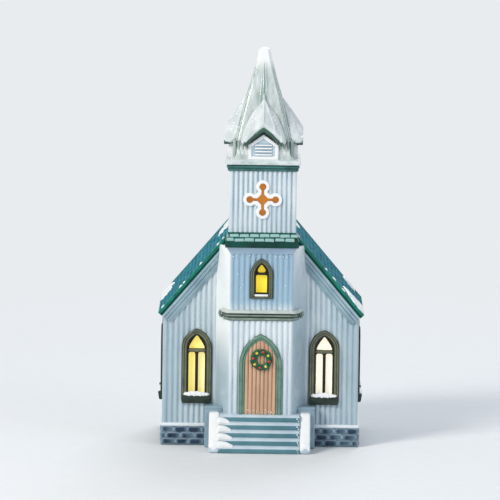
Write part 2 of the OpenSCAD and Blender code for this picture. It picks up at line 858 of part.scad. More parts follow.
// Repeats a shape that is drawn for the tower's front face on all four faces
module on_four_faces() for (a = [0:90:270]) {
  translate([0, tower_y, 0]) rotate([0, 0, a]) translate([0, -tower_y, 0]) children();
}
module louvre_wall() {
  half = louvre_w / 2;
  upright(tower_y - louvre_reach, louvre_reach) polygon([
    [-half, cornice_top_z], [half, cornice_top_z], [half, cornice_top_z + louvre_wall_h],
    [0, cornice_top_z + louvre_peak_h], [-half, cornice_top_z + louvre_wall_h]
  ]);
}
module gablet_louvres() place() color(snow_white) on_four_faces() {
  difference() {
    louvre_wall();
    spire_body(0, cornice_top_z, spire_top_z);
  }
  for (i = [0:louvre_slats - 1]) {
    translate([-slat_w / 2, tower_y - louvre_reach - slat_t, cornice_top_z + slat_h + i * slat_pitch]) {
      cube([slat_w, slat_t, slat_h]);
    }
  }
}
module gablet_roofs() place() color(snow_white) on_four_faces() {
  half = gablet_w / 2;
  front = -gablet_reach;
  back = -gablet_ridge_r;
  low = gablet_eave_z - gablet_edge;
  points = [
    [0, back, gablet_ridge_z], [0, front, gablet_peak_z],
    [-half, front, gablet_eave_z], [half, front, gablet_eave_z],
    [-half, front, low], [half, front, low],
    [-half, back, low], [half, back, low]
  ];
  difference() {
    translate([0, tower_y, 0]) hull() polyhedron(points, [
      [0, 1, 2], [0, 3, 1], [1, 4, 2], [1, 3, 5], [1, 5, 4],
      [4, 5, 7], [4, 7, 6], [0, 2, 4], [0, 4, 6], [0, 5, 3], [0, 7, 5], [0, 6, 7]
    ]);
    spire_body(0, cornice_top_z, spire_top_z);
    louvre_wall();
    translate([-louvre_w / 2, tower_y - gablet_reach - cut, 0]) {
      cube([louvre_w, gablet_reach, cornice_top_z + louvre_wall_h]);
    }
    louvre_clear();
  }
}
// Space in front of a louvre wall, under its gablet
module louvre_clear() {
  half = louvre_w / 2;
  upright(tower_y - gablet_reach - cut, gablet_reach) polygon([
    [-half, 0], [half, 0], [half, cornice_top_z + louvre_wall_h],
    [0, cornice_top_z + louvre_peak_h], [-half, cornice_top_z + louvre_wall_h]
  ]);
}

// Steps

module steps() place() color(ice_blue) difference() {
  translate([cheek_in, 0, 0]) rotate([90, 0, -90]) linear_extrude(steps_w) polygon([
    [-pier_front_y, 0], [-pier_front_y, landing_h],
    for (i = [0:risers - 1]) each [
      [bay_out + landing_d + i * tread, landing_h - i * rise],
      [bay_out + landing_d + i * tread, landing_h - (i + 1) * rise]
    ]
  ]);
  translate([0, 0, -cut]) linear_extrude(bay_h) bay_outline(0);
}
module cheek() translate([cheek_in + cheek_w, 0, 0]) rotate([90, 0, -90]) {
  linear_extrude(cheek_w) polygon([
    [-pier_front_y, 0], [-pier_front_y, cheek_back_h], [bay_out, cheek_back_h],
    [-steps_front_y, cheek_nose_h], [-steps_front_y, 0]
  ]);
}
module cheek_right() place() color(snow_white) cheek();
module cheek_left() place() color(snow_white) mirror([1, 0, 0]) cheek();
module pier() difference() {
  translate([pier_in, pier_front_y, 0]) cube([pier_w, -pier_front_y, pier_h]);
  translate([0, 0, -cut]) linear_extrude(bay_h) bay_outline(0);
}
module pier_right() place() color(ice_blue) pier();
module pier_left() place() color(ice_blue) mirror([1, 0, 0]) pier();
// One drift on each tread below the landing, against the left-hand cheek
module step_snow() place() color(snow_white) for (i = [1:risers - 1]) {
  translate([-cheek_in, -bay_out - landing_d - i * tread, landing_h - i * rise]) {
    cube([step_snow_w, tread, step_snow_t]);
  }
}

// Lamp

// Stands a shape that is turned about Z on the lamp's axis, its +Z towards the back
module on_lamp(y) translate([lamp_x, y, lamp_z]) rotate([-90, 0, 0]) children();
module tube(y, outer, inner, l) on_lamp(y) difference() {
  cylinder(r = outer, h = l);
  translate([0, 0, -cut]) cylinder(r = inner, h = l + 2 * cut);
}
module socket_body() place() color("ivory") difference() {
  union() {
    on_lamp(mouth_y) cylinder(d = barrel_d, h = collar_y - mouth_y);
    on_lamp(collar_y) cylinder(d = collar_d, h = collar_t);
    on_lamp(collar_y) cylinder(d = boss_d, h = collar_t + boss_l);
  }
  on_lamp(mouth_y - cut) cylinder(r = shell_out, h = web_y - mouth_y + cut);
  on_lamp(web_y - cut) cylinder(d = cord_hole_d, h = back_y - web_y + 2 * cut);
}
module screw_shell() place() color("gold") tube(mouth_y + cap_seat, shell_out, shell_in, shell_l);
// Spring strip on the socket's web, which the bulb's tip presses on
module contact_tongue() place() color("goldenrod") {
  reach = shell_out - tongue_t;
  translate([lamp_x - tongue_w / 2, 0, lamp_z]) rotate([0, 90, 0]) linear_extrude(tongue_w) polygon([
    [-cord_hole_d / 4, tongue_y], [cord_hole_d / 2, tongue_y],
    [reach, web_y - tongue_t], [reach, web_y], [cord_hole_d / 2, web_y],
    [cord_hole_d / 2, web_y - tongue_t], [0, tongue_y + tongue_t], [-cord_hole_d / 4, tongue_y + tongue_t]
  ]);
}
module clip_band() place() color("silver") tube(band_y, band_out, barrel_r + band_clear, band_w);
// Leaf spring beside the barrel, drawn in plan
module clip_leaf() translate([0, 0, lamp_z - leaf_w / 2]) linear_extrude(leaf_w) polygon([
  [band_out - leaf_t, leaf_root_y], [band_out, leaf_root_y],
  [leaf_crown, leaf_crown_y], [leaf_crown - leaf_tail_in, leaf_tail_y],
  [leaf_crown - leaf_tail_in - leaf_t, leaf_tail_y], [leaf_crown - leaf_t, leaf_crown_y]
]);
module clip_leaf_right() place() color("silver") translate([lamp_x, 0, 0]) clip_leaf();
module clip_leaf_left() place() color("silver") {
  translate([lamp_x, 0, 0]) mirror([1, 0, 0]) clip_leaf();
}

module bulb_contact() place() color("silver") on_lamp(contact_y) {
  cylinder(r1 = contact_r, r2 = contact_r / 2, h = contact_t);
}
module bulb_cap() place() color("gold") on_lamp(mouth_y + cap_seat) difference() {
  cylinder(r = cap_r, h = cap_l);
  translate([0, 0, -cut]) cylinder(r = cap_r - cap_wall, h = cap_l - cap_wall + cut);
}
module glass_outline(in) {
  neck = glass_neck_r - in;
  polygon([
    [0, cap_l / 2 + in], [neck, cap_l / 2 + in], [neck, 0],
    for (p = glass_shares) [
      max(0, p[1] * (glass_d / 2 - in)),
      -p[0] * (glass_l - in)
    ]
  ]);
}
module bulb_glass() place() color([1, 1, 1, 0.4]) on_lamp(mouth_y) rotate_extrude($fn = 64) {
  difference() {
    glass_outline(0);
    glass_outline(glass_t);
  }
}
// Glass stem with a flare that is fused to the bulb's neck
module bulb_stem() place() color([0.9, 0.95, 1, 0.6]) on_lamp(stem_foot_y - stem_l) {
  cylinder(r1 = stem_r / 2, r2 = stem_r, h = stem_l);
  translate([0, 0, stem_l]) cylinder(r1 = stem_r, r2 = glass_neck_r - glass_t, h = stem_flare);
}
// Two support wires and the coil's straight run between their ends
module bulb_filament() place() color("dimgray") {
  foot_y = stem_foot_y - stem_l - wire_r;
  top_y = foot_y - filament_rise;
  for (s = [-1, 1]) hull() {
    translate([lamp_x + s * stem_r / 4, foot_y, lamp_z]) sphere(wire_r, $fn = 12);
    translate([lamp_x + s * filament_span / 2, top_y, lamp_z]) sphere(wire_r, $fn = 12);
  }
  translate([lamp_x - filament_span / 2, top_y, lamp_z]) rotate([0, 90, 0]) {
    cylinder(r = filament_r, h = filament_span, $fn = 16);
  }
}

base_floor();
foundation_front_left();
foundation_front_right();
foundation_left();
foundation_right();
foundation_back();
front_wall_left();
front_wall_right();
back_wall();
left_wall();
right_wall();
bay_front();
bay_side_left();
bay_side_right();
bay_frieze();
door();
door_frame();
wreath();
wreath_berries();
hood_moulding();
front_window_frames();
bay_window_frame();
side_window_frames();
window_sills();
sill_snow();
front_window_panes();
bay_window_pane();
side_window_panes();
quatrefoil_pane();
rake_moulding_left();
rake_moulding_right();
rear_rakes();
roof_left();
roof_right();
ridge_roll();
roof_snow();
tower_skirt();
tower_shaft();
quatrefoil_surround();
tower_cornice();
spire();
gablet_roofs();
gablet_louvres();
steps();
cheek_left();
cheek_right();
pier_left();
pier_right();
step_snow();
socket_body();
screw_shell();
contact_tongue();
clip_band();
clip_leaf_left();
clip_leaf_right();
bulb_contact();
bulb_cap();
bulb_glass();
bulb_stem();
bulb_filament();
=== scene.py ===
# %% [markdown]
# # A glazed ceramic village church, piece by piece
# The real object is a hollow slip-cast house, about 22 cm tall, with a small lamp in its back.
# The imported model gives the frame: every finished piece below lies where the model's solids lie.

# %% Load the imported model
import bpy, bmesh, math, random
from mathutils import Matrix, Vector, noise


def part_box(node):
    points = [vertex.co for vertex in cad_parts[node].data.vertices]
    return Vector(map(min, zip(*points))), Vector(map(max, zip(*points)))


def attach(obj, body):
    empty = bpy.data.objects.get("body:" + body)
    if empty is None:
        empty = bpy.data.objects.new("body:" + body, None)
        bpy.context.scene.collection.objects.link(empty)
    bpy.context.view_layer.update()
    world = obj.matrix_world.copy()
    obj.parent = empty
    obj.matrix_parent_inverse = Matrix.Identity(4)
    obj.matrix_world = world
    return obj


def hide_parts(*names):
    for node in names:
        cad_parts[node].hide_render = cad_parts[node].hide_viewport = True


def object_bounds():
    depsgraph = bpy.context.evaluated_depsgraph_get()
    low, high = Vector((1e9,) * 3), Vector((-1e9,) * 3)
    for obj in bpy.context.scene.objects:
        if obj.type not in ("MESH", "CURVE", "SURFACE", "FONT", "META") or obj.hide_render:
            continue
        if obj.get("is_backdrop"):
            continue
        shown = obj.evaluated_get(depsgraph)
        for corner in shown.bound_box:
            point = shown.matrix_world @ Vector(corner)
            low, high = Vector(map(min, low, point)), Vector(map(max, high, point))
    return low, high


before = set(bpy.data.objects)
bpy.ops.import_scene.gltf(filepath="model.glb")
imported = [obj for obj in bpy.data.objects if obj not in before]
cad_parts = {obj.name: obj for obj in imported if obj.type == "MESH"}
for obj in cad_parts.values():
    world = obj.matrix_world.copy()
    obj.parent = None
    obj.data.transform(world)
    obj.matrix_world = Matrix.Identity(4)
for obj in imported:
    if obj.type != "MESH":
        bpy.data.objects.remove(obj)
cad_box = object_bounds()
front_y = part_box("front_wall_left")[0].y
print("front wall's face lies at y", round(front_y, 5), "m")

# %% [markdown]
# ## Working in millimetres
# A maker thinks of this house in millimetres, with the front wall's face at y = 0 and the ground at
# z = 0. Each piece is built that way, and one helper then shrinks it to metres, moves it into the
# model's frame and applies that, so that the object's origin stays at zero.

# %% Helpers for selecting and placing
MM = 0.001
dice = random.Random(7)


def only(*obs):
    """Selects these objects and nothing else; the first becomes active."""
    bpy.ops.object.select_all(action="DESELECT")
    for ob in obs:
        ob.select_set(True)
    bpy.context.view_layer.objects.active = obs[0]
    return obs[0]


def fixed(ob):
    """Applies an object's place, turn and size to its mesh."""
    only(ob)
    bpy.ops.object.transform_apply(location=True, rotation=True, scale=True)
    return ob


def new(name):
    """Names the primitive that was just added and applies its place."""
    ob = bpy.context.object
    ob.name = ob.data.name = name
    return fixed(ob)


def placed(ob, place=(0, 0, 0), turn=(0, 0, 0), size=(1, 1, 1)):
    """Scales, turns and moves a piece."""
    ob.location, ob.rotation_euler, ob.scale = place, turn, size
    return fixed(ob)


def join(obs, name):
    ob = only(*obs)
    bpy.ops.object.join()
    ob.name = ob.data.name = name
    return ob


def copy_of(ob, name):
    """A copy with a mesh of its own."""
    twin = ob.copy()
    twin.data = ob.data.copy()
    twin.name = twin.data.name = name
    bpy.context.scene.collection.objects.link(twin)
    return twin


def coated(ob, *materials):
    """Gives a piece its glazes; the first one covers it."""
    for material in materials:
        ob.data.materials.append(material)
    return ob


def paint(ob, material, test):
    """Gives one more glaze to the faces that pass a test of centre and normal, in millimetres."""
    coated(ob, material)
    for face in ob.data.polygons:
        if test(face.center, face.normal):
            face.material_index = len(ob.data.materials) - 1
    return ob


# %% Helpers for edit mode
def edit(ob):
    only(ob)
    bpy.ops.object.mode_set(mode="EDIT")
    bpy.ops.mesh.select_mode(type="VERT")
    bpy.ops.mesh.select_all(action="SELECT")


def done(ob):
    bpy.ops.object.mode_set(mode="OBJECT")
    return ob


def pick(test):
    """In edit mode, selects the faces whose centre and normal pass a test."""
    bpy.ops.mesh.select_all(action="DESELECT")
    bpy.ops.mesh.select_mode(type="FACE")
    mesh = bmesh.from_edit_mesh(bpy.context.object.data)
    for face in mesh.faces:
        face.select = test(face.calc_center_median(), face.normal)
    mesh.select_flush_mode()
    bmesh.update_edit_mesh(bpy.context.object.data)


def closed(ob):
    """Leaves edit mode with the faces of a closed mesh turned outwards."""
    bpy.ops.mesh.select_all(action="SELECT")
    bpy.ops.mesh.normals_make_consistent(inside=False)
    return done(ob)


def mirrored(ob, side):
    """Leaves a piece as it is for side 1, and mirrors it across x = 0 for side -1."""
    if side > 0:
        return ob
    edit(placed(ob, size=(-1, 1, 1)))
    return closed(ob)


def trim(ob, place, away, fill=True):
    """Cuts off whatever lies on the far side of a plane and closes the cut."""
    edit(ob)
    bpy.ops.mesh.bisect(plane_co=place, plane_no=away, use_fill=fill, clear_outer=True)
    return done(ob)


# %% Helpers that apply modifiers
def modify(ob, kind, **settings):
    """Adds a modifier with these settings and applies it."""
    only(ob)
    m = ob.modifiers.new(kind.title(), kind)
    for key, value in settings.items():
        setattr(m, key, value)
    bpy.ops.object.modifier_apply(modifier=m.name)
    return ob


def repeated(ob, count, step):
    """A row of copies, each moved by one step."""
    return modify(ob, "ARRAY", count=count, use_relative_offset=False, use_constant_offset=True,
                  constant_offset_displace=step)


def carve(ob, cutters, operation="DIFFERENCE"):
    """Cuts other solids out of a piece, and throws them away."""
    for cutter in cutters:
        modify(ob, "BOOLEAN", operation=operation, object=cutter, solver="EXACT")
        bpy.data.objects.remove(cutter)
    return ob


def soften(ob, width, segments=2, angle=35):
    """Rounds the sharp edges, as a glaze does when it melts over them."""
    return modify(ob, "BEVEL", width=width, segments=segments, limit_method="ANGLE",
                  angle_limit=math.radians(angle), harden_normals=False)


def remelt(ob, voxel, rounds=4):
    """Fuses overlapping lumps into one soft skin, as wet slip or thick glaze does."""
    modify(ob, "REMESH", mode="VOXEL", voxel_size=voxel, use_smooth_shade=True)
    return modify(ob, "SMOOTH", factor=0.5, iterations=rounds)


# %% Raw shapes, and the last step of every piece
UPRIGHT = (math.pi / 2, 0, 0)


def slab(name, points, axis, start, depth):
    """A flat outline pushed out to a solid. The outline lies across the axis, from start on."""
    bpy.ops.mesh.primitive_circle_add(vertices=len(points), fill_type="NGON")
    ob = new(name)
    for v, (a, b) in zip(ob.data.vertices, points):
        v.co = {"z": (a, b, start), "y": (a, start, b), "x": (start, a, b)}[axis]
    edit(ob)
    move = [depth if letter == axis else 0 for letter in "xyz"]
    bpy.ops.mesh.extrude_region_move(TRANSFORM_OT_translate={"value": move})
    return closed(ob)


def block(name, low, high):
    """A box between two corners."""
    low, high = Vector(low), Vector(high)
    bpy.ops.mesh.primitive_cube_add(size=1, location=(low + high) / 2, scale=high - low)
    return new(name)


def rod(name, place, radius, depth, sides):
    """A round bar that points to the back."""
    bpy.ops.mesh.primitive_cylinder_add(vertices=sides, radius=radius, depth=depth, location=place,
                                        rotation=UPRIGHT)
    return new(name)


def lump(name, place, size):
    """A stretched ball, the raw lump of soft forms."""
    bpy.ops.mesh.primitive_ico_sphere_add(subdivisions=3, radius=1, location=place, scale=size)
    return new(name)


def settle(ob, material=None, nodes="", body="house", angle=40):
    """Brings a finished piece from millimetres into the model's frame, hangs it on its body and hides the imported
    nodes it replaces.

    Without other names, that is the node that the piece is named for."""
    if material:
        coated(ob, material)
    placed(ob, (0, front_y, 0), size=(MM, MM, MM))
    bpy.ops.object.shade_smooth_by_angle(angle=math.radians(angle))
    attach(ob, body)
    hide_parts(*(nodes.split() or [ob.name.split(".")[0]]))
    print(f"{ob.name}: {len(ob.data.polygons)} faces")


# %% [markdown]
# ## The photograph's camera
# The house was photographed from far away and a little above, almost straight at its front. A long
# lens from 3 m keeps the upright lines parallel, as they are in the picture.

# %% Camera
PITCH, ROLL, DISTANCE = math.radians(6.8), math.radians(0.8), 3.0
SENSOR, IMAGE, PIXEL = 36, 500, 0.0005578  # one pixel covers 0.558 mm at the house
aim = Vector((0, 0.015 + front_y, 0.108))
bpy.ops.object.camera_add(
    location=aim + Vector((0, -DISTANCE * math.cos(PITCH), DISTANCE * math.sin(PITCH))),
    rotation=(math.pi / 2 - PITCH, 0, 0))
camera = bpy.context.object
camera.rotation_euler.rotate_axis("Z", ROLL)
camera.data.sensor_width = SENSOR
camera.data.lens = SENSOR * (DISTANCE / PIXEL) / IMAGE
camera.data.shift_x = -12 / IMAGE
camera.data.clip_end = 50
bpy.context.scene.camera = camera
print("lens", round(camera.data.lens, 1), "mm")

# %% [markdown]
# ## Floor, backdrop and light
# A plain pale sweep and soft studio light: one broad lamp from the upper left, as the picture's
# bright left cheek shows, a weaker one from the right, and an even sky. The background is seen
# white by the camera and in reflections, and it lights the object only weakly.

# %% Colours, and one helper that adds a node
def lin(code):
    """An sRGB hex colour as linear RGBA."""
    parts = [int(code[i:i + 2], 16) / 255 for i in (1, 3, 5)]
    return [c / 12.92 if c <= 0.04045 else ((c + 0.055) / 1.055) ** 2.4 for c in parts] + [1.0]


def node(tree, kind, inputs=(), out=None, **settings):
    """Adds a node, sets its properties, sets or links its inputs, by order or name, gives an output."""
    n = tree.nodes.new("ShaderNode" + kind)
    for key, value in settings.items():
        setattr(n, key, value)
    named = isinstance(inputs, dict)
    sockets = n.inputs if named else [s for s in n.inputs if s.enabled]
    for key, value in inputs.items() if named else enumerate(inputs):
        if isinstance(value, bpy.types.NodeSocket):
            tree.links.new(value, sockets[key])
        else:
            sockets[key].default_value = value
    return n.outputs[out] if out else next((s for s in n.outputs if s.enabled), None)


def blank(name):
    """A new material, its empty node tree, and the place on the piece that its patterns read."""
    material = bpy.data.materials.new(name)
    material.use_nodes = True
    material.node_tree.nodes.clear()
    return material, material.node_tree, node(material.node_tree, "TexCoord", out="Object")


def skinned(material, sockets):
    """Ends a material in one principled shader with these sockets."""
    tree = material.node_tree
    node(tree, "OutputMaterial", [node(tree, "BsdfPrincipled", sockets)])
    print("material", material.name)
    return material


# %% Floor and lamps
PAPER_WHITE = "#e9ecef"
bpy.ops.mesh.primitive_plane_add(size=8, location=(0, 0, -0.0002))
floor = new("floor")
studio_paper, tree, place = blank("matt_studio_paper")
grain = node(tree, "TexNoise", {"Scale": 900.0, "Detail": 2.0})
paper = node(tree, "Mix", [grain, lin("#e4e6e8"), lin("#eaecee")], data_type="RGBA")
sheet = node(tree, "BsdfPrincipled", {"Base Color": paper, "Roughness": 0.85})
away = node(tree, "VectorMath", [place], operation="LENGTH")
fade = node(tree, "MapRange", [away, 0.16, 0.75], interpolation_type="SMOOTHSTEP")
haze = node(tree, "Emission", [lin(PAPER_WHITE), 1.0])
node(tree, "OutputMaterial", [node(tree, "MixShader", [fade, sheet, haze])])
coated(floor, studio_paper)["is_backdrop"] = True

world = bpy.context.scene.world = bpy.data.worlds.new("studio")
world.use_nodes = True
tree = world.node_tree
tree.nodes.clear()
seen = 0.0
for ray in ("Is Camera Ray", "Is Transmission Ray", "Is Glossy Ray"):
    seen = node(tree, "Math", [seen, node(tree, "LightPath", out=ray)], operation="MAXIMUM")
sky = node(tree, "Background", [lin("#e8eef4"), 0.52])
bright = node(tree, "Background", [lin(PAPER_WHITE), 1.0])
node(tree, "OutputWorld", [node(tree, "MixShader", [seen, sky, bright])])

for name, place, size, watts, colour in (("softbox_left", (-1.1, -1.2, 1.2), 0.6, 24, "#fffaf2"),
                                         ("softbox_right", (1.1, -0.9, 0.7), 0.8, 3.5, "#eaf2ff"),
                                         ("softbox_back", (0.3, 1.3, 1.2), 0.9, 11, "#f4f8ff")):
    bpy.ops.object.light_add(type="AREA", location=place)
    lamp = bpy.context.object
    lamp.name = name
    lamp.data.size, lamp.data.energy, lamp.data.color = size, watts, lin(colour)[:3]
    lamp.rotation_euler = (Vector((0, 0, 0.1)) - Vector(place)).to_track_quat("-Z", "Y").to_euler()
bpy.context.scene.view_settings.view_transform = "Standard"
print("floor, sky and 3 softboxes")

# %% [markdown]
# ## Glazes
# Slip-cast earthenware is fired, painted with coloured glazes and fired again. Melted glaze runs
# off ridges and edges, where it stays thin and pale, and pools in grooves, where it is thick and
# dark. Here the pale edges and dark hollows also carry painted highlight and painted shade. One
# recipe makes every glaze here: an occlusion measure finds the hollows, an inside-out one finds the
# edges, and slow noise gives the uneven coats of a brush. The surface itself is glossy with a faint
# orange-peel swell of a few millimetres.

# %% The glaze recipe
def glaze(name, coat, pool, thin, mottle, gloss=0.22, reach=1.3, patch_mm=9.0, streak=1.0, tint=None,
          shine=0.5, pooling=0.55, specular=0.5):
    """coat: the even colour; pool: in hollows, as thick glaze and painted shade; thin: on edges,
    as thinned glaze and painted highlight; mottle: how blotchy, 0 to 1.

    pooling is the openness at which a hollow is filled with the dark glaze."""
    m, t, place = blank(name)
    stretched = node(t, "Mapping", {"Vector": place, "Scale": (1.0, 1.0, streak)})
    patches = node(t, "TexNoise", [stretched, 1000.0 / patch_mm, 3.0, 0.55])
    patch = node(t, "MapRange", [patches, 0.38, 0.68])
    hollow = node(t, "AmbientOcclusion", {"Distance": reach * MM}, "AO", samples=4, only_local=True)
    deep = node(t, "MapRange", [hollow, 0.96, pooling])
    broad = node(t, "TexNoise", [place, 1000.0 / 24.0, 1.0])
    uneven = node(t, "MapRange", [broad, 0.36, 0.62, 0.5, 1.0])
    deep = node(t, "Math", [deep, uneven], operation="MULTIPLY")
    edge = node(t, "AmbientOcclusion", {"Distance": 0.55 * MM}, "AO", samples=4, only_local=True, inside=True)
    rim = node(t, "MapRange", [edge, 0.62, 0.25, 0.0, 0.9])
    blotch = node(t, "Math", [patch, mottle], operation="MULTIPLY")
    colour = node(t, "Mix", [blotch, lin(coat), lin(pool)], data_type="RGBA")
    if tint:
        colour = tint(t, place, colour)
    # painted shade: hollows take the dark pool colour, along with the thick glaze that gathers there
    pooled_and_shaded = node(t, "Mix", [deep, colour, lin(pool)], data_type="RGBA")
    # painted highlight: edges take the pale thin colour, along with the thinned glaze there
    pale_rims_and_highlights = node(t, "Mix", [rim, pooled_and_shaded, lin(thin)], data_type="RGBA")
    swell = node(t, "TexNoise", [place, 1000.0 / 4.5, 2.0])
    pits = node(t, "TexNoise", [place, 1000.0 / 0.7, 1.0])
    low = node(t, "Bump", {"Height": swell, "Strength": 0.35, "Distance": 0.6 * MM})
    bump = node(t, "Bump", {"Height": pits, "Strength": 0.12, "Distance": 0.12 * MM, "Normal": low})
    rough = node(t, "MapRange", [patches, 0.3, 0.7, gloss, gloss + 0.14])
    return skinned(m, {"Base Color": pale_rims_and_highlights, "Roughness": rough, "IOR": 1.45, "Specular IOR Level": specular,
                       "Coat Weight": shine, "Coat Roughness": 0.07, "Normal": bump})


def sprayed(t, colour, layers, blend="MULTIPLY"):
    """Lays more colours over a glaze. A layer is a colour and ramps (measure, start, end, most)."""
    for code, *ramps in layers:
        strength = None
        for measure, start, end, most in ramps:
            ramp = node(t, "MapRange", [measure, start, end, 0.0, most], interpolation_type="SMOOTHSTEP")
            strength = node(t, "Math", [strength, ramp], operation=blend) if strength else ramp
        colour = node(t, "Mix", [strength, colour, lin(code)], data_type="RGBA")
    return colour


def lit_tops_shaded_undersides(t, place, colour):
    """Pale along the top of each stone as painted highlight, nearly black along its underside as painted shade."""
    up = node(t, "SeparateXYZ", [node(t, "NewGeometry", out="Normal")], "Z")
    return sprayed(t, colour, [("#c3d2dc", (up, 0.25, 0.8, 0.9)), ("#050b14", (up, -0.15, -0.6, 0.9))])


# %% The house's glazes
snow_glaze = glaze("thick_white_snow_glaze", "#f2f4f5", "#c9d6de", "#f7f8f9", 0.12, gloss=0.3)
roof_glaze = glaze("teal_roof_glaze", "#0f7080", "#053c48", "#3f97a8", 0.8, gloss=0.5, patch_mm=4.0,
                   shine=0.0, specular=0.03)
edge_glaze = glaze("dark_green_edge_glaze", "#06473e", "#021f1b", "#135a4f", 0.7, gloss=0.3, patch_mm=6.0,
                   shine=0.1, specular=0.25)
verge_glaze = glaze("sea_green_verge_glaze", "#13806f", "#04443a", "#48ac9a", 0.7, gloss=0.25, patch_mm=5.0,
                    shine=0.2, specular=0.2)
shadow_glaze = glaze("black_green_painted_shadow_glaze", "#04302a", "#01130f", "#0e4a40", 0.5, patch_mm=5.0,
                     shine=0.0, specular=0.1)
olive_glaze = glaze("olive_frame_glaze", "#6c7055", "#333a28", "#b3b79f", 0.6, patch_mm=5.0)
# dark olive: the sills' own glaze deepened as painted shade; also painted shade on frame faces turned from the front
# and under the hood
olive_and_shade_glaze = glaze("dark_olive_glaze_with_painted_shade", "#34413a", "#141c17", "#748071", 0.6, patch_mm=4.0,
                   shine=0.15, specular=0.25)
tread_glaze = glaze("blue_grey_step_glaze", "#c6d6e1", "#7f9bae", "#e4ecf2", 0.3)
# the risers' slate stands for the shade on them: painted shade
riser_shade_glaze = glaze("slate_riser_painted_shade_glaze", "#578590", "#2c5c67", "#8fb3bb", 0.4, shine=0.2, specular=0.3)
stone_glaze = glaze("dark_stone_glaze", "#28405a", "#0a1420", "#6d8798", 0.8, patch_mm=3.0, shine=0.2,
                    specular=0.25, tint=lit_tops_shaded_undersides)
mortar_glaze = glaze("pale_mortar_glaze", "#627f90", "#1c3040", "#a9bfcd", 0.5, shine=0.2)
# the ledge's white stands for its lit top: a painted highlight
ledge_white_highlight = glaze("white_ledge_painted_highlight_glaze", "#e9eff3", "#b4c4cf", "#f4f7f9", 0.2)
pier_glaze = glaze("blue_grey_pier_glaze", "#93acba", "#5c7b8d", "#c6d5de", 0.5)
door_glaze = glaze("tan_plank_glaze", "#d6ae8e", "#80563c", "#f0dac8", 0.35, streak=0.3, reach=0.9)
wreath_glaze = glaze("fir_green_glaze", "#083822", "#010f08", "#1d6d48", 0.7, gloss=0.2, patch_mm=2.0,
                     shine=0.2, specular=0.3)
red_glaze = glaze("red_berry_glaze", "#d21f2d", "#8a0d18", "#ee5a60", 0.2, gloss=0.1, patch_mm=1.0)
yellow_glaze = glaze("yellow_berry_glaze", "#f2d13c", "#b98f12", "#fbe88f", 0.2, gloss=0.1, patch_mm=1.0)
strip_glaze = glaze("grey_green_strip_glaze", "#a9b9b4", "#4f6b64", "#e0e8e5", 0.5, reach=1.0, streak=0.3,
                    pooling=0.7)
# painted shade: reveals, plates and bars that stand dark against the lit film
backlit_shade_glaze = glaze("dark_reveal_painted_shade_glaze", "#2e2820", "#120e0a", "#4c4436", 0.4, shine=0.1, specular=0.2)
bisque = glaze("bare_earthenware_bisque", "#e7ddd0", "#cdbfae", "#efe8df", 0.4, gloss=0.75)

# %% [markdown]
# ## Outlines used all over the house
# The boarded walls are a sheet of soft vertical waves, 3.03 mm from groove to groove. Windows and
# door share one form, the lancet, made of two arcs. Long mouldings are lofted: a section is carried
# from station to station, which a mould maker does with a template pulled along the plaster.

# %% Outline helpers
BOARD, GROOVE, ARC_STEPS = 3.03, 0.62, 9
RIDGE_Z, EAVE_X, ROOF_PITCH = 141.607, 57.4, math.radians(49.5)
TAN_P, COS_P, SIN_P = math.tan(ROOF_PITCH), math.cos(ROOF_PITCH), math.sin(ROOF_PITCH)


def roof_z(x, below=0.0):
    """Height of the roof's plane at x, moved in by a thickness."""
    return RIDGE_Z - abs(x) * TAN_P - below / COS_P


def wave(c, board=BOARD, groove=GROOVE):
    """Depth of the boarding at a place along the wall; grooves lie at whole boards."""
    return groove * (0.5 + 0.5 * math.cos(2 * math.pi * c / board)) ** 2.1


def shifted(points, dx, dz):
    return [(x + dx, z + dz) for x, z in points]


def flipped(points):
    """The mirror image of an outline, which still runs the same way round."""
    return [(-x, z) for x, z in reversed(points)]


def even(right, *top):
    """A symmetrical outline from its right half, going up, and points on the axis."""
    left = flipped(right)
    return left[-1:] + right + list(top) + left[:-1]


def lancet(w, h, spring, foot=0.0):
    """Outline of a pointed arch with its foot at z = foot, anticlockwise from the left."""
    peak = h - spring
    r = (peak * peak + w * w / 4) / w
    last = math.asin(min(1, peak / r))
    turns = [last * k / ARC_STEPS for k in range(ARC_STEPS)]
    return even([(w / 2, foot)] + [(w / 2 - r + r * math.cos(t), spring + r * math.sin(t)) for t in turns], (0, h))


def boarded_box(half_x, y0, y1, corner, board=BOARD, groove=GROOVE):
    """Plan of a rectangle with boarded sides and rounded corners, anticlockwise."""
    corners = [Vector((-half_x, y0)), Vector((half_x, y0)), Vector((half_x, y1)), Vector((-half_x, y1))]
    points = []
    for k, a in enumerate(corners):
        b = corners[(k + 1) % 4]
        length, along = (b - a).length, (b - a).normalized()
        inward = Vector((-along.y, along.x))
        n = round((length - 2 * corner) / (board / 8))
        for i in range(n + 1):
            s = corner + (length - 2 * corner) * i / n
            p = a + along * s
            fade = max(0.0, min(1.0, (min(s, length - s) - corner) / 0.8))
            points.append(p + inward * wave(p.y if k % 2 else p.x, board, groove) * fade)
        centre = b - along * corner + inward * corner
        for j in range(1, 4):
            t = math.pi / 8 * j
            points.append(centre + corner * (-inward * math.cos(t) + along * math.sin(t)))
    return [(p.x, p.y) for p in points]


def loft(name, stations):
    """Carries a closed section through a row of stations and fills both ends."""
    n, m = len(stations) - 1, len(stations[0])
    bpy.ops.mesh.primitive_grid_add(x_subdivisions=n, y_subdivisions=m, size=1)
    ob = new(name)
    for v in ob.data.vertices:
        i, j = round((v.co.x + 0.5) * n), round((v.co.y + 0.5) * m)
        v.co = stations[i][j % m]
    edit(ob)
    bpy.ops.mesh.remove_doubles(threshold=0.0005)
    bpy.ops.mesh.fill_holes(sides=0)
    return closed(ob)


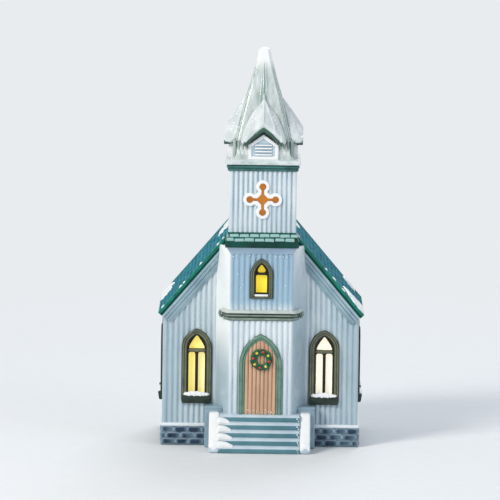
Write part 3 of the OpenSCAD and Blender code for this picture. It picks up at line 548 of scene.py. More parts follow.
# %% [markdown]
# ## The four boarded walls
# On the real house the walls are one casting, so the boards run round the corners with no seam.
# The plan is drawn with its waves, pushed up, cut by the two roof planes and hollowed. The lamp's
# hole, the windows and the way into the entrance bay are cut last.

# %% Walls
BODY_X, BODY_Y, WALL, BAY_WAY = 54.5, 72, 3.5, 21.07
WINDOW_X, SILL_Z, LIGHT = 35.5, 28.7, (9.4, 33.0, 25.7)
SIDE_WINDOWS = (BODY_Y * 0.27, BODY_Y * 0.73)
LAMP_X, LAMP_Z = 14.0, 38.0

walls = slab("boarded_walls", boarded_box(BODY_X, 0, BODY_Y, 1.3), "z", 12.2, 130)
for side in (1, -1):
    trim(walls, (0, 0, roof_z(0, 3.0)), (side * SIN_P, 0, COS_P))
carve(walls, [block("hollow", (WALL - BODY_X, WALL, 5), (BODY_X - WALL, BODY_Y - WALL, 200)),
              block("bay_way", (-BAY_WAY, -1, 5), (BAY_WAY, 4, 200))]
      + [slab("light", shifted(lancet(*LIGHT), x, SILL_Z), "y", -1, 6) for x in (-WINDOW_X, WINDOW_X)]
      + [slab("light", shifted(lancet(*LIGHT), y, SILL_Z), "x", -60, 120) for y in SIDE_WINDOWS]
      + [rod("lamp_hole", (LAMP_X, 70, LAMP_Z), 14.5, 8, 64)])


def sprayed_and_shaded_walls(t, place, colour):
    """A blue tone, partly sprayed on and partly painted shade: bluer towards the house's outer ends and low down,
    paler beside the bay.
    """
    x, _, z = node(t, "SeparateXYZ", [place]).node.outputs
    far = node(t, "Math", [x], operation="ABSOLUTE")
    return sprayed(t, colour, [("#86a6b4", (far, 0.026, 0.054, 0.55), (z, 0.05, 0.012, 0.25))], "MAXIMUM")


coated(walls, glaze("pale_blue_wall_glaze", "#d3e0e6", "#5f8499", "#ebf2f5", 0.34, streak=0.35, patch_mm=13.0,
                    tint=sprayed_and_shaded_walls, pooling=0.74))
paint(walls, bisque, lambda c, n: abs(c.x) < 51.02 and 3.45 < c.y < 68.55)
settle(walls, nodes="front_wall_left front_wall_right left_wall right_wall back_wall")

# %% [markdown]
# ## The entrance bay
# The bay is a five-sided box in front of the gable. Its front is boarded, its splayed sides are
# smooth, and a cove carries the little skirt roof. The spray gun left its upper front bluer.

# %% Bay and cove
BAY_X, BAY_Y, SPLAY, BAY_WINDOW_Z, DOOR_Z = 17.4, -15, 7.6 / 15, 87.5, 20
SPLAY_COS = math.cos(math.atan(SPLAY))


def bay_x(y, d=0.0):
    """Half width of the bay's plan at depth y, grown outwards by d."""
    return BAY_X + (y - BAY_Y) * SPLAY + d / SPLAY_COS


ridges = [-16.0 + 32.0 * i / 84 for i in range(85)]
right = [(BAY_X - 1.1, -15.0), (BAY_X - 0.25, -14.7), (bay_x(-13.9), -13.9), (25.0, 0.3)]
inside = [(BAY_WAY, 0.3), (bay_x(-11.5, -WALL), -11.5)]
plan = flipped(right) + [(x, BAY_Y + wave(x)) for x in ridges] + right + inside + flipped(inside)
bay = slab("entrance_bay", plan, "z", 5.0, 108.0)
under_roof = [(x, roof_z(x, 1.5)) for x in (-EAVE_X, 0, EAVE_X)] + [(EAVE_X, 200), (-EAVE_X, 200)]
carve(bay, [slab("door_recess", shifted(lancet(17.6, 41.5, 27.6), 0, DOOR_Z), "y", -17, 3),
            slab("bay_light", shifted(lancet(6.7, 16.1, 10.3), 0, BAY_WINDOW_Z), "y", -17, 7),
            slab("over_roof", under_roof, "y", -3, 5)])


def bay_spray_and_painted_light(t, place, colour):
    """Blue between hood and cove; on the left cheek white high up as painted highlight and greyer low down; the right
    cheek greyer as painted shade.
    """
    x, y, z = node(t, "SeparateXYZ", [place]).node.outputs
    flat = (y, front_y - 0.0138, front_y - 0.0146, 1.0)
    left, right = ((x, side * 0.0165, side * 0.0182, 1.0) for side in (-1, 1))
    return sprayed(t, colour, [
        ("#a9c1cf", flat, (z, 0.055, 0.02, 0.45)), ("#8bb2ca", flat, (z, 0.076, 0.084, 0.85)),
        # the cheek layers: painted highlight high on the left cheek, painted shade on the right cheek
        ("#f0f4f5", left, (z, 0.04, 0.07, 1.0)), ("#8fabb8", left, (z, 0.07, 0.035, 0.7)),
        ("#94afbc", right, (z, 0.12, 0.06, 0.75))])


coated(bay, glaze("sprayed_bay_glaze_with_painted_light", "#e4edf1", "#6f93ac", "#f0f5f7", 0.18, streak=0.35, tint=bay_spray_and_painted_light,
                  pooling=0.74))
spatter = []
for k in range(34):
    # a row of flecks under the cove, then some all over the front
    if k < 18:
        x, z = -15.5 + 31 * k / 17 + dice.uniform(-0.6, 0.6), 108.3 + dice.uniform(-0.9, 0.5)
    else:
        x, z = dice.uniform(-15, 15), dice.uniform(79, 106)
    if abs(x) >= 7 or z >= 108:
        r = dice.uniform(0.16, 0.42)
        spatter.append(lump("fleck", (x, -14.95, z), (r, 0.3, r)))
spatter = coated(join(spatter, "spatter"), snow_glaze)
settle(join([bay, spatter], "entrance_bay"), nodes="bay_front bay_side_left bay_side_right")

cove_section = [(0.05, 109.3), (0.35, 110.2), (0.8, 111.2), (1.35, 112.2), (1.5, 113.1), (-1.0, 113.1),
                (-1.0, 109.3)]
stations = [[Vector((end * (BAY_X + max(d, 0) * 1.4), BAY_Y - d, z)) for d, z in cove_section] for end in (-1, 1)]
cove_glaze = glaze("periwinkle_cove_glaze", "#a9c2d8", "#7fa0c0", "#dfe9f1", 0.3)
settle(soften(loft("cove", stations), 0.15), cove_glaze, "bay_frieze")

# %% [markdown]
# ## Window and door frames
# Each frame is a lancet face pushed out of the wall and stepped inwards with insets, so that it
# reads as two olive bands with a pale rim of thinned glaze and painted highlight. Its reveal goes
# back into the wall and is coloured dark as painted shade. The frame's foot is buried in the sill.

# %% Frames
def arch_frame(name, outline, steps, back, edge=0.13):
    """Pushes an outline out of the wall, steps it in, and opens it through to the back."""
    ring = slab(name, outline, "y", 0.3, -1.2)
    edit(ring)
    pick(lambda c, n: n.y < -0.9)
    for width, drop in steps:
        bpy.ops.mesh.inset(thickness=width, depth=-drop, use_even_offset=True)
    bpy.ops.mesh.extrude_region_move(TRANSFORM_OT_translate={"value": (0, back, 0)})
    bpy.ops.mesh.delete(type="FACE")
    pick(lambda c, n: n.y > 0.9 and c.y > 0.2)
    bpy.ops.mesh.delete(type="ONLY_FACE")
    bpy.ops.mesh.select_mode(type="EDGE")
    bpy.ops.mesh.select_all(action="DESELECT")
    bpy.ops.mesh.select_non_manifold()
    bpy.ops.mesh.bridge_edge_loops()
    return soften(closed(ring), edge, 2, 30)


def window(name, outline, steps, opening, bars, plate, lights):
    """An olive frame round its bars, and a thin dark plate cut through where the light shows.
    The plate, the frame's inner band and its dark bars are painted shade against the lit film.
    """
    ring = coated(arch_frame(name, outline, steps, 2.9), olive_glaze)
    # painted shade: the frame's faces that turn away from the front get the dark olive
    paint(ring, olive_and_shade_glaze, lambda c, n: n.y > -0.93)
    # painted shade: the frame's innermost band and its reveal round the opening
    paint(ring, backlit_shade_glaze, lambda c, n: abs(c.x) < opening[0] and -0.4 < c.z < opening[1] and c.y > -0.45)
    tracery = slab("tracery", plate, "y", 1.2, 0.7)
    carve(tracery, [slab("light", points, "y", 0.5, 3) for points in lights])
    return join([ring] + [coated(soften(block("bar", low, high), width, 3), material)
                          for low, high, width, material in bars] + [coated(tracery, backlit_shade_glaze)], name)


def in_each_window(part, name):
    """Copies of one part for every tall window, joined by wall: front, then side."""
    made = {"front": [], "side": []}
    for x in (-WINDOW_X, WINDOW_X):
        made["front"].append(placed(copy_of(part, name), (x, 0, SILL_Z)))
    for y in SIDE_WINDOWS:
        for side in (1, -1):
            spot = (side * BODY_X, y, SILL_Z)
            made["side"].append(placed(copy_of(part, name), spot, (0, 0, side * math.pi / 2)))
    bpy.data.objects.remove(part)
    return [join(parts, f"{wall}_{name}") for wall, parts in made.items()]


top_light = even([(4.1, 25.4), (4.3, 26.0), (3.5, 27.9), (2.2, 30.0), (0.7, 32.1)], (0, 32.7))
low_light = [(0.85, -0.2), (4.5, -0.2), (4.5, 22.3), (4.2, 23.0), (3.6, 23.25), (1.7, 23.25), (1.1, 23.0),
             (0.85, 22.3)]
tall_window = window(
    "tall_window", lancet(LIGHT[0] + 7.4, LIGHT[1] + 3.7, LIGHT[2], foot=-3.7),
    [(0.45, -0.3), (0.85, 0.0), (0.3, 0.45), (1.1, 0.0), (0.3, 0.3), (0.7, 0.4)], (5.4, 34),
    [((-5, 0.2, 23.5), (5, 2.2, 25.2), 0.5, olive_glaze), ((-0.5, 0.6, -0.5), (0.5, 1.5, 24), 0.3, backlit_shade_glaze)],
    lancet(9.9, 33.3, 25.7, foot=-0.3), [top_light, low_light, flipped(low_light)])
for frames in in_each_window(tall_window, "window_frames"):
    settle(frames)

# %% Bay window and door frame
teardrop = even([(1.3, 11.4), (2.0, 11.9), (2.2, 12.6), (1.8, 13.5), (1.0, 14.7), (0.3, 15.6)])
oblong = even([(3.0, 0.3), (3.05, 9.3), (2.6, 9.95)])
bay_window = window(
    "bay_window_frame", lancet(12.6, 19.35, 10.3, foot=-2.95),
    [(0.4, -0.3), (0.6, 0.0), (0.25, 0.4), (0.85, 0.0), (0.3, 0.35), (0.55, 0.35)], (3.9, 16.8),
    [((-3.4, 0.7, 10.1), (3.4, 1.6, 11.2), 0.35, backlit_shade_glaze),
     ((-3.7, -1.7, -1.7), (3.7, -0.5, -0.45), 0.45, snow_glaze)],
    lancet(7.2, 16.5, 10.3, foot=-0.3), [teardrop, oblong])
settle(placed(bay_window, (0, BAY_Y, BAY_WINDOW_Z)))

door_ring = arch_frame("door_frame", lancet(23.6, 44.8, 27.6, foot=-3.0),
                       [(0.45, -0.3), (1.3, 0.0), (0.35, 0.35), (0.9, 0.1)], 1.9, edge=0.15)
coated(door_ring, glaze("green_door_frame_glaze", "#6d9482", "#2c5141", "#d9e5dd", 0.6, patch_mm=5.0))
# painted shade: the frame's faces that turn away from the front, and its reveal, get dark green
paint(door_ring, glaze("dark_green_painted_shade_glaze", "#2f5c47", "#12301f", "#6f9482", 0.5, patch_mm=5.0, specular=0.3),
      lambda c, n: n.y > -0.9)
settle(placed(door_ring, (0, BAY_Y, DOOR_Z)))

# %% [markdown]
# ## Glowing panes
# Behind each opening hangs a sheet of coloured film. The bulb stands to the right of the middle,
# so the right-hand pane is almost white and the far ones are amber. The glow is worked out from
# the distance to the bulb, and fine fibres in the film make it a little uneven.

# %% Panes
def glowing_film(name, near, far, strength, middle=0.04, spread=0.05):
    """Film lit from behind: 'near' where it is close to the bulb, 'far' where it is not."""
    m, t, place = blank(name)
    bulb = Vector((LAMP_X * MM, 33 * MM + front_y, LAMP_Z * MM))
    gap = node(t, "VectorMath", [place, bulb], operation="DISTANCE")
    glow = node(t, "MapRange", [gap, middle + spread, middle], interpolation_type="SMOOTHSTEP")
    fibre = node(t, "TexNoise", [place, 700.0, 4.0])
    cloud = node(t, "Math", [fibre, 0.25, -0.12], operation="MULTIPLY_ADD")
    level = node(t, "Math", [glow, cloud], operation="ADD", use_clamp=True)
    tone = node(t, "Mix", [level, lin(far), lin(near)], data_type="RGBA")
    return skinned(m, {"Base Color": tone, "Roughness": 0.35, "Emission Color": tone,
                       "Emission Strength": strength})


def film_sheet(name, outline, y):
    """A sheet of film with softened edges."""
    return soften(slab(name, outline, "y", y, 0.4), 0.1)


window_film = glowing_film("yellow_polyester_film", "#fff8e4", "#f5df55", 0.66, 0.038, 0.03)
bay_film = glowing_film("deep_yellow_polyester_film", "#f6e044", "#f2d22c", 0.58)
amber_film = glowing_film("amber_polyester_film", "#d88c34", "#c97a22", 0.5)
for panes in in_each_window(film_sheet("tall_pane", lancet(13.4, 35, 25.7, foot=-2), WALL), "window_panes"):
    settle(panes, window_film)
bay_pane = shifted(lancet(10.7, 18.4, 12.9, foot=-2), 0, BAY_WINDOW_Z)
settle(film_sheet("bay_window_pane", bay_pane, -11.5), bay_film)
cross_pane = [(-11, 128.4), (11, 128.4), (11, 150.4), (-11, 150.4)]
settle(film_sheet("quatrefoil_pane", cross_pane, -9.5), amber_film)

# %% [markdown]
# ## Sills with snow
# Each sill is a small block with a rounded nose. The snow on it was trailed on as thick white
# glaze, so it is a row of fused lumps with a soft outline, thicker in the middle.

# %% Sills and sill snow
sill = block("sill", (-8.1, -2.6, -5.2), (8.1, 0.5, -0.4))
edit(sill)
pick(lambda c, n: n.z < -0.9)
bpy.ops.transform.translate(value=(0, 0.7, 0))
sills = in_each_window(soften(done(sill), 0.7, 3), "sills")
# the sills' dark olive is partly painted shade
settle(join(sills, "window_sills"), olive_and_shade_glaze)

parts = []
for k in range(8):
    rise = 2.3 - 1.1 * abs(k - 3.2) / 3.5
    parts.append(lump("lump", (-5.6 + 1.6 * k + dice.uniform(-0.3, 0.3), -1.2 + dice.uniform(-0.15, 0.15), -0.25),
                      (1.6, 1.35, rise * dice.uniform(0.85, 1.15))))
for x in (-4.6, -0.4, 3.4):
    parts.append(lump("drip", (x + dice.uniform(-0.8, 0.8), -2.15, -0.5), (0.9, 0.42, 0.8)))
drifts = in_each_window(remelt(join(parts, "sill_lumps"), 0.22, 5), "sill_snow")
settle(join(drifts, "sill_snow"), snow_glaze, angle=70)

# %% [markdown]
# ## Door, wreath and hood
# The door is eight vertical planks with round backs, set one millimetre into its arch. The wreath
# is a ring of pressed fir sprigs with eight berries, coloured with a fine brush. The hood above is
# a thick moulding that turns back along the bay's splayed sides and curls over at both ends.

# %% Door
DOOR_HALF, PLANK = 8.8, 2.2
ribs = [-DOOR_HALF + 2 * DOOR_HALF * i / 96 for i in range(97)]
ribs = [(x, -15.05 - 0.55 * abs(math.sin(math.pi * (x + DOOR_HALF) / PLANK)) ** 0.7) for x in ribs]
door = slab("planked_door", [(-DOOR_HALF, -14.0)] + ribs + [(DOOR_HALF, -14.0)], "z", DOOR_Z, 43)
carve(door, [slab("arch", shifted(lancet(17.5, 41.4, 27.6), 0, DOOR_Z), "y", -18, 6)], "INTERSECT")
# white specks at the door's foot: partly snow spatter, partly painted highlight for the glints there
flecks = [lump("fleck", (-6.5 + 1.6 * k, -15.45, 20.9 + dice.uniform(0, 1.8)),
               (dice.uniform(0.2, 0.4), 0.35, dice.uniform(0.2, 0.45))) for k in range(9)]
flecks = coated(join(flecks, "flecks"), snow_glaze)
settle(join([coated(door, door_glaze), flecks], "planked_door"), nodes="door", angle=60)

# %% Wreath
WREATH, WREATH_R = Vector((0.5, -16.0, 50.5)), 4.35
bpy.ops.mesh.primitive_torus_add(major_radius=WREATH_R, minor_radius=1.5, major_segments=48, minor_segments=10,
                                 location=WREATH, rotation=UPRIGHT)
sprigs = [new("ring")]
for k in range(150):
    a = 2 * math.pi * k / 150 + dice.uniform(-0.05, 0.05)
    tilt = dice.uniform(-1.3, 1.3)
    r = WREATH_R + 1.6 * math.sin(tilt)
    bpy.ops.mesh.primitive_ico_sphere_add(
        subdivisions=2, radius=1, location=WREATH + Vector((r * math.cos(a), -0.85 * math.cos(tilt), r * math.sin(a))),
        rotation=(0, -a + dice.uniform(-0.8, 0.8), 0), scale=(0.36, 0.36, 0.95))
    sprigs.append(new("sprig"))
wreath = trim(join(sprigs, "fir_wreath"), (0, -15.5, 0), (0, 1, 0), fill=False)
settle(wreath, wreath_glaze, "wreath", angle=50)
berries = []
for k in range(8):
    a = 2 * math.pi * (k + 0.75) / 8
    bpy.ops.mesh.primitive_uv_sphere_add(segments=20, ring_count=12, radius=0.8,
                                         location=WREATH + Vector((4.45 * math.cos(a), -1.1, 4.45 * math.sin(a))))
    berry = coated(new("berry"), red_glaze)
    berries.append(paint(berry, yellow_glaze, lambda c, n: k % 2 == 0))
settle(join(berries, "wreath_berries"))

# %% Hood moulding
HOOD_BACK = -9.4
hood_section = [(-0.6, 72.2), (0.5, 72.2), (0.75, 72.5), (0.75, 73.9), (1.15, 74.2), (1.5, 74.5), (1.6, 75.7),
                (2.0, 76.0), (2.5, 76.3), (2.6, 77.2), (2.35, 77.9), (1.7, 78.1), (-0.6, 78.1)]
stations = []
for y, side in ((HOOD_BACK, -1), (BAY_Y, -1), (BAY_Y, 1), (HOOD_BACK, 1)):
    out = 1 if y == BAY_Y else 0
    stations.append([Vector((side * bay_x(y - d * out, d), y - d * out, z)) for d, z in hood_section])
hood_green = glaze("grey_green_hood_glaze", "#8d9f92", "#3c544b", "#cfd8d1", 0.5, patch_mm=4.0, specular=0.3)
hood = coated(soften(loft("hood_moulding", stations), 0.18, 2, 25), hood_green)
paint(hood, glaze("pale_hood_glaze", "#ccd4d0", "#7d8f89", "#e9ebe8", 0.4, patch_mm=5.0), lambda c, n: c.z > 76.2)
# painted shade: the hood's underside and the narrow bands between its rolls
paint(hood, olive_and_shade_glaze, lambda c, n: n.z < -0.25 or 75.5 < c.z < 76.2 or 73.9 < c.z < 74.5)
# at each end the moulding curls over against the cheek
curls = []
for side in (-1, 1):
    for k in range(8):
        t = math.radians(110 - 190 * k / 7)
        spot = (side * (bay_x(HOOD_BACK, 1.3) + 1.3 * math.cos(t)), -10.0, 75.7 + 1.9 * math.sin(t))
        curls.append(lump("curl", spot, (0.75, 1.3, 0.85)))
curls = coated(remelt(join(curls, "curls"), 0.25, 4), hood_green)
settle(join([hood, curls], "hood_moulding"))

# %% [markdown]
# ## The stone foundation
# A smooth ledge caps three courses of small quarry-faced stones. On the real casting they are part
# of the wall. The stones are glazed dark; their tops are pale as painted highlight and their
# undersides nearly black as painted shade. One stone is modelled and laid in courses, each copy a
# little longer, lower or more turned than the last.

# %% Plinth
bpy.ops.mesh.primitive_cube_add(size=1)
stone = soften(new("stone"), 0.25, 3)
for v in stone.data.vertices:
    v.co.y -= 0.08 * math.sin(7 * v.co.x + 2) * (v.co.y < -0.2)


def stone_run(length):
    """Three courses of stones along +x, their faces proud of the mortar at y = 0."""
    parts = []
    for course in range(3):
        x = -4.0 * (course % 2)
        while x < length:
            size = dice.uniform(6.6, 8.2)
            low, high = max(x, 0) + 0.18, min(x + size, length) - 0.18
            if high - low > 1.2:
                parts.append(placed(
                    copy_of(stone, "stone"), size=(high - low, 2.0, 3.0 * dice.uniform(0.94, 1.03)),
                    place=((low + high) / 2, 0.5 + dice.uniform(-0.1, 0.1), 2.05 + 3.35 * course),
                    turn=(dice.uniform(-0.04, 0.04), dice.uniform(-0.04, 0.04), dice.uniform(-0.025, 0.025))))
            x += size
    return join(parts, "stones")


# mortar bed, stones and ledge of each side, built along +x with the outside at -y
for name, length, angle, place in (
        ("foundation_front_left", 34.2, 0, (-55.0, -0.45, 0)), ("foundation_front_right", 34.2, 0, (20.8, -0.45, 0)),
        ("foundation_left", 72.3, -math.pi / 2, (-54.95, 72.15, 0)),
        ("foundation_right", 72.3, math.pi / 2, (54.95, -0.15, 0)),
        ("foundation_back", 110.0, math.pi, (55.0, 72.45, 0))):
    bed = coated(soften(block("bed", (0, 0, 0), (length, 4.2, 10.7)), 0.3), mortar_glaze)
    stones = coated(stone_run(length), stone_glaze)
    ledge = coated(soften(block("ledge", (0, -0.45, 10.5), (length, 4.0, 12.3)), 0.45, 3), ledge_white_highlight)
    settle(placed(join([bed, stones, ledge], name), place, (0, 0, angle)))
bpy.data.objects.remove(stone)

# %% [markdown]
# ## The shingled roof
# Each slope is a slab with 28 courses of shingles. One shingle is modelled as a thin wedge, thick
# at its lower end, repeated along the course and up the slope, and then every copy is tilted and
# sized a little differently. The slope is built lying flat, then turned to the roof's pitch.

# %% Shingles
SLOPE_L = EAVE_X / COS_P


def on_slope(ob, side):
    """Tips a piece built flat onto a slope: x is the way down from the ridge, z the height above it."""
    return placed(mirrored(ob, side), (0, 0, RIDGE_Z), (0, side * ROOF_PITCH, 0))


def shingle():
    """One wedge: its lower, thick end at x = 0, running up to x = -4.4."""
    ob = block("shingle", (-4.4, -1.9, -0.9), (0, 1.9, -0.06))
    for v in ob.data.vertices:
        v.co.z -= 0.55 * (v.co.x < -2)
    return soften(ob, 0.28, 2)


def shingled(rows, cols, first_x, first_y, pitch_x=3.2, pitch_y=3.95):
    """Courses of shingles going up from x = first_x, every other course moved by half a shingle."""
    halves = []
    for odd in (0, 1):
        part = shingle()
        size = len(part.data.vertices)
        repeated(part, cols + odd, (0, pitch_y, 0))
        repeated(part, (rows + 1 - odd) // 2, (-2 * pitch_x, 0, 0))
        vertices = part.data.vertices
        for start in range(0, len(vertices), size):
            group = vertices[start:start + size]
            middle = sum((v.co for v in group), Vector()) / size
            lift, turn, slide = dice.uniform(-0.16, 0), dice.uniform(-0.05, 0.05), dice.uniform(-0.35, 0.25)
            wide = dice.uniform(0.93, 1.0)
            for v in group:
                a = v.co - middle
                v.co = middle + Vector((a.x - a.y * turn + slide, a.y * wide + a.x * turn, a.z + lift * (a.x > 0)))
        halves.append(placed(part, (first_x - pitch_x * odd, first_y - pitch_y / 2 * odd, 0)))
    return join(halves, "shingles")


def drop_inside(ob, test):
    """Deletes the loose parts of a mesh whose middle passes a test."""
    edit(ob)
    mesh = bmesh.from_edit_mesh(ob.data)
    seen = set()
    for first in mesh.verts:
        if first in seen:
            continue
        island = [first]
        seen.add(first)
        for v in island:
            for near in (e.other_vert(v) for e in v.link_edges):
                if near not in seen:
                    seen.add(near)
                    island.append(near)
        gone = test(sum((v.co for v in island), Vector()) / len(island))
        for v in island:
            v.select = gone
    mesh.select_flush(True)
    bmesh.update_edit_mesh(ob.data)
    bpy.ops.mesh.delete(type="VERT")
    return done(ob)


# %% Roof slopes
def layer(side, top, bottom):
    """Section of one slope between two depths below the roof's plane."""
    def eave(d):
        return EAVE_X - d * SIN_P, roof_z(EAVE_X) - d * COS_P

    tip = eave(top) if top > 0.1 else (EAVE_X - 0.1, roof_z(EAVE_X))
    return [(side * x, z) for x, z in (tip, (0, roof_z(0, top)), (0, roof_z(0, bottom)), eave(bottom))]


def slope_half(side):
    """One slope: a deck cut round the tower, its gutter and verges, and the field of shingles."""
    deck = slab("deck", layer(side, 0.8, 3), "y", -2.4, 76.8)
    carve(deck, [block("tower_way", (-15.3, -3.5, 100), (15.3, 20.9, 160))])
    gutter = soften(block("eave", (SLOPE_L - 0.9, -2.4, -2.9), (SLOPE_L - 0.05, 74.4, -0.1)), 0.3, 3)
    strips = [coated(on_slope(gutter, side), verge_glaze)]
    # the verge is a rounded lip of green glaze over a recessed strip painted black-green as the shadow line where it
    # turns under
    for starts, deep, top, bottom, material in (((-3.0, 73.7), 1.3, 0.05, 1.75, verge_glaze),
                                                ((-2.5, 73.7), 0.8, 1.5, 2.9, shadow_glaze)):
        for y in starts:
            strip = soften(slab("verge", layer(side, top, bottom), "y", y, deep), 0.3, 3)
            strips.append(coated(strip, material))
    field = shingled(28, 19, SLOPE_L - 0.25, 0.5)
    for place, away in (((0, -1.75, 0), (0, -1, 0)), ((0, 73.75, 0), (0, 1, 0)), ((0.1, 0, 0), (-1, 0, 0))):
        trim(field, place, away)
    drop_inside(on_slope(field, side), lambda c: abs(c.x) < 18.0 and c.y < 23.8)
    return join([coated(deck, edge_glaze), join(strips, "edging"), coated(field, roof_glaze)], "roof")


slopes = [slope_half(side) for side in (1, -1)]
for slope, name in zip(slopes, ("roof_right", "roof_left")):
    settle(slope, nodes=name, angle=35)

# %% [markdown]
# ## Raking cornices
# Under the roof's verge a moulding of three stepped bands with fine grooves follows the gable. The
# section is drawn once; in front it runs into the bay, behind it is mitred under the ridge.

# %% Rakes
rake_section = [(2.95, 2.6), (4.3, 2.6), (4.55, 2.15), (4.8, 2.15), (5.0, 2.35), (6.2, 1.95), (6.45, 1.5),
                (6.7, 1.5), (6.9, 1.65), (8.3, 1.05), (8.6, 0.65), (9.5, 0.45), (9.6, -0.3), (2.95, -0.3)]
rake_white = glaze("pale_rake_glaze", "#a3bdc8", "#456f82", "#e0eaee", 0.45, patch_mm=12.0, pooling=0.72)


def rake(name, side, inner_x, wall_y, out):
    """The moulding of one slope, from a plumb cut at inner_x down to a square cut at the eave."""
    plumb, square = [], []
    for n, d in rake_section:
        plumb.append(Vector((side * inner_x, wall_y + out * d, roof_z(inner_x, n))))
        x, z = EAVE_X - 0.4 * COS_P - SIN_P * n, roof_z(EAVE_X) + 0.4 * SIN_P - COS_P * n
        square.append(Vector((side * x, wall_y + out * d, z)))
    return soften(loft(name, [plumb, square]), 0.14, 2, 25)


for name, side in (("rake_moulding_left", -1), ("rake_moulding_right", 1)):
    settle(rake(name, side, 21.8, 0, -1), rake_white)
rear = [rake("rear_rake", side, 0, BODY_Y, 1) for side in (-1, 1)]
settle(join(rear, "rear_rakes"), rake_white)

# %% [markdown]
# ## The skirt roof and the tower
# A little skirt roof with two courses of shingles closes the bay's top. The tower above it is
# boarded like the walls, with the lamplit cross cut through a raised white surround.

# %% Skirt roof
TOWER_X, SKIRT_TOP, SKIRT_EDGE = 18.7, 121.1, 116.7
skirt_section = [(-1.0, 113.05), (5.5, 113.05), (6.0, 113.4), (6.0, 116.3), (5.7, SKIRT_EDGE), (0.0, SKIRT_TOP),
                 (-1.0, SKIRT_TOP)]
stations = [[Vector((side * (TOWER_X + d * 1.65 / 6), -13 - d if corner else -3, z)) for d, z in skirt_section]
            for side, corner in ((-1, False), (-1, True), (1, True), (1, False))]
skirt = coated(soften(loft("tower_skirt", stations), 0.25, 3), edge_glaze)
courses = trim(shingled(2, 7, 0, 0, 3.3), (-6.9, 0, 0), (-1, 0, 0))
tilt = math.atan2(SKIRT_TOP - SKIRT_EDGE, 5.7)
placed(courses, (-18.3, -18.9, 117.05), (0, tilt, -math.pi / 2), (1, 1.42, 1))
for side in (1, -1):
    trim(courses, (side * 19.6, 0, 0), (side, 0, 0))
coated(courses, glaze("snowy_green_shingle_glaze", "#3f8482", "#0a433c", "#a3c8c6", 0.9, patch_mm=2.5,
                      shine=0.15, specular=0.3))
settle(join([skirt, courses], "tower_skirt"), angle=35)

# %% Tower and its cross
TOWER_Y, CROSS_Z, LOBE_R = 5.7, 139.4, 7.1


def cross(y, depth, lobe, heart, sides):
    """The four lobes of the cross, and its heart, a square that stands on a corner."""
    made = []
    for k in range(4):
        a = math.pi / 2 * k
        made.append(rod("lobe", (LOBE_R * math.cos(a), y, CROSS_Z + LOBE_R * math.sin(a)), lobe, depth, sides))
    bpy.ops.mesh.primitive_cube_add(size=1, location=(0, y, CROSS_Z), rotation=(0, math.pi / 4, 0),
                                    scale=(heart, depth, heart))
    return made + [new("heart")]


def cross_cutters():
    """The lobes and the heart of the hole, joined by narrow necks."""
    return cross(-12, 6, 1.95, 5.3, 32) + [
        block("neck", (-x, -15, CROSS_Z - z), (x, -9, CROSS_Z + z)) for x, z in ((6, 0.8), (0.8, 6))]


tower = slab("tower_shaft", boarded_box(TOWER_X, -13, 24.4, 1.1, 2.67), "z", 118.5, 36.8)
carve(tower, [block("hollow", (-15.2, -9.5, 100), (15.2, 20.9, 160))] + cross_cutters())
settle(tower,
       glaze("near_white_tower_glaze", "#dde7ec", "#6389a2", "#f0f5f7", 0.3, streak=0.3, pooling=0.72))
surround = remelt(join(cross(-12.95, 2.2, 3.7, 9.6, 48), "quatrefoil_surround"), 0.28, 6)
settle(carve(surround, cross_cutters()), snow_glaze, angle=60)

# %% [markdown]
# ## Cornice and spire
# The cornice is a square moulding, green below; above, it is pale and stained with green. The spire
# stands on a fluted drum. Its corners and the middle of each face carry slender reeds that run up
# to a blunt snowy tip.

# %% Cornice
def square(half, z, corner=0.8):
    """Level outline of a rounded square around the tower's axis."""
    points = []
    for k in range(4):
        x, y = ((half - corner) * (1 if k in high else -1) for high in ((0, 3), (0, 1)))
        for j in range(5):
            t = math.pi / 2 * (k + j / 4)
            points.append(Vector((x + corner * math.cos(t), TOWER_Y + y + corner * math.sin(t), z)))
    return points


levels = [(-3.0, 155.1), (0.45, 155.1), (0.8, 155.4), (0.95, 155.9), (0.8, 156.4), (0.7, 156.6), (1.2, 156.9),
          (1.45, 157.4), (1.4, 157.9), (1.0, 158.35), (1.8, 158.7), (2.05, 159.3), (2.05, 160.3), (1.8, 161.0),
          (1.2, 161.4), (0.2, 161.55), (-3.0, 161.55)]
cornice = loft("tower_cornice", [square(TOWER_X + d, z) for d, z in levels])
coated(cornice, glaze("cornice_green_glaze", "#3d7874", "#123b3c", "#b3cbc5", 0.7, patch_mm=4.0, specular=0.3))
paint(cornice, glaze("green_stained_cornice_glaze", "#dde4e6", "#5b8a83", "#eef2f3", 0.5, streak=2.0, patch_mm=5.0),
      lambda c, n: c.z > 158.55)
settle(cornice)

# %% Spire
SPIRE_Z = 161.5


def share(value, low, high):
    """How far a value has gone from low to high, kept within 0 and 1."""
    return min(1.0, max(0.0, (value - low) / (high - low)))


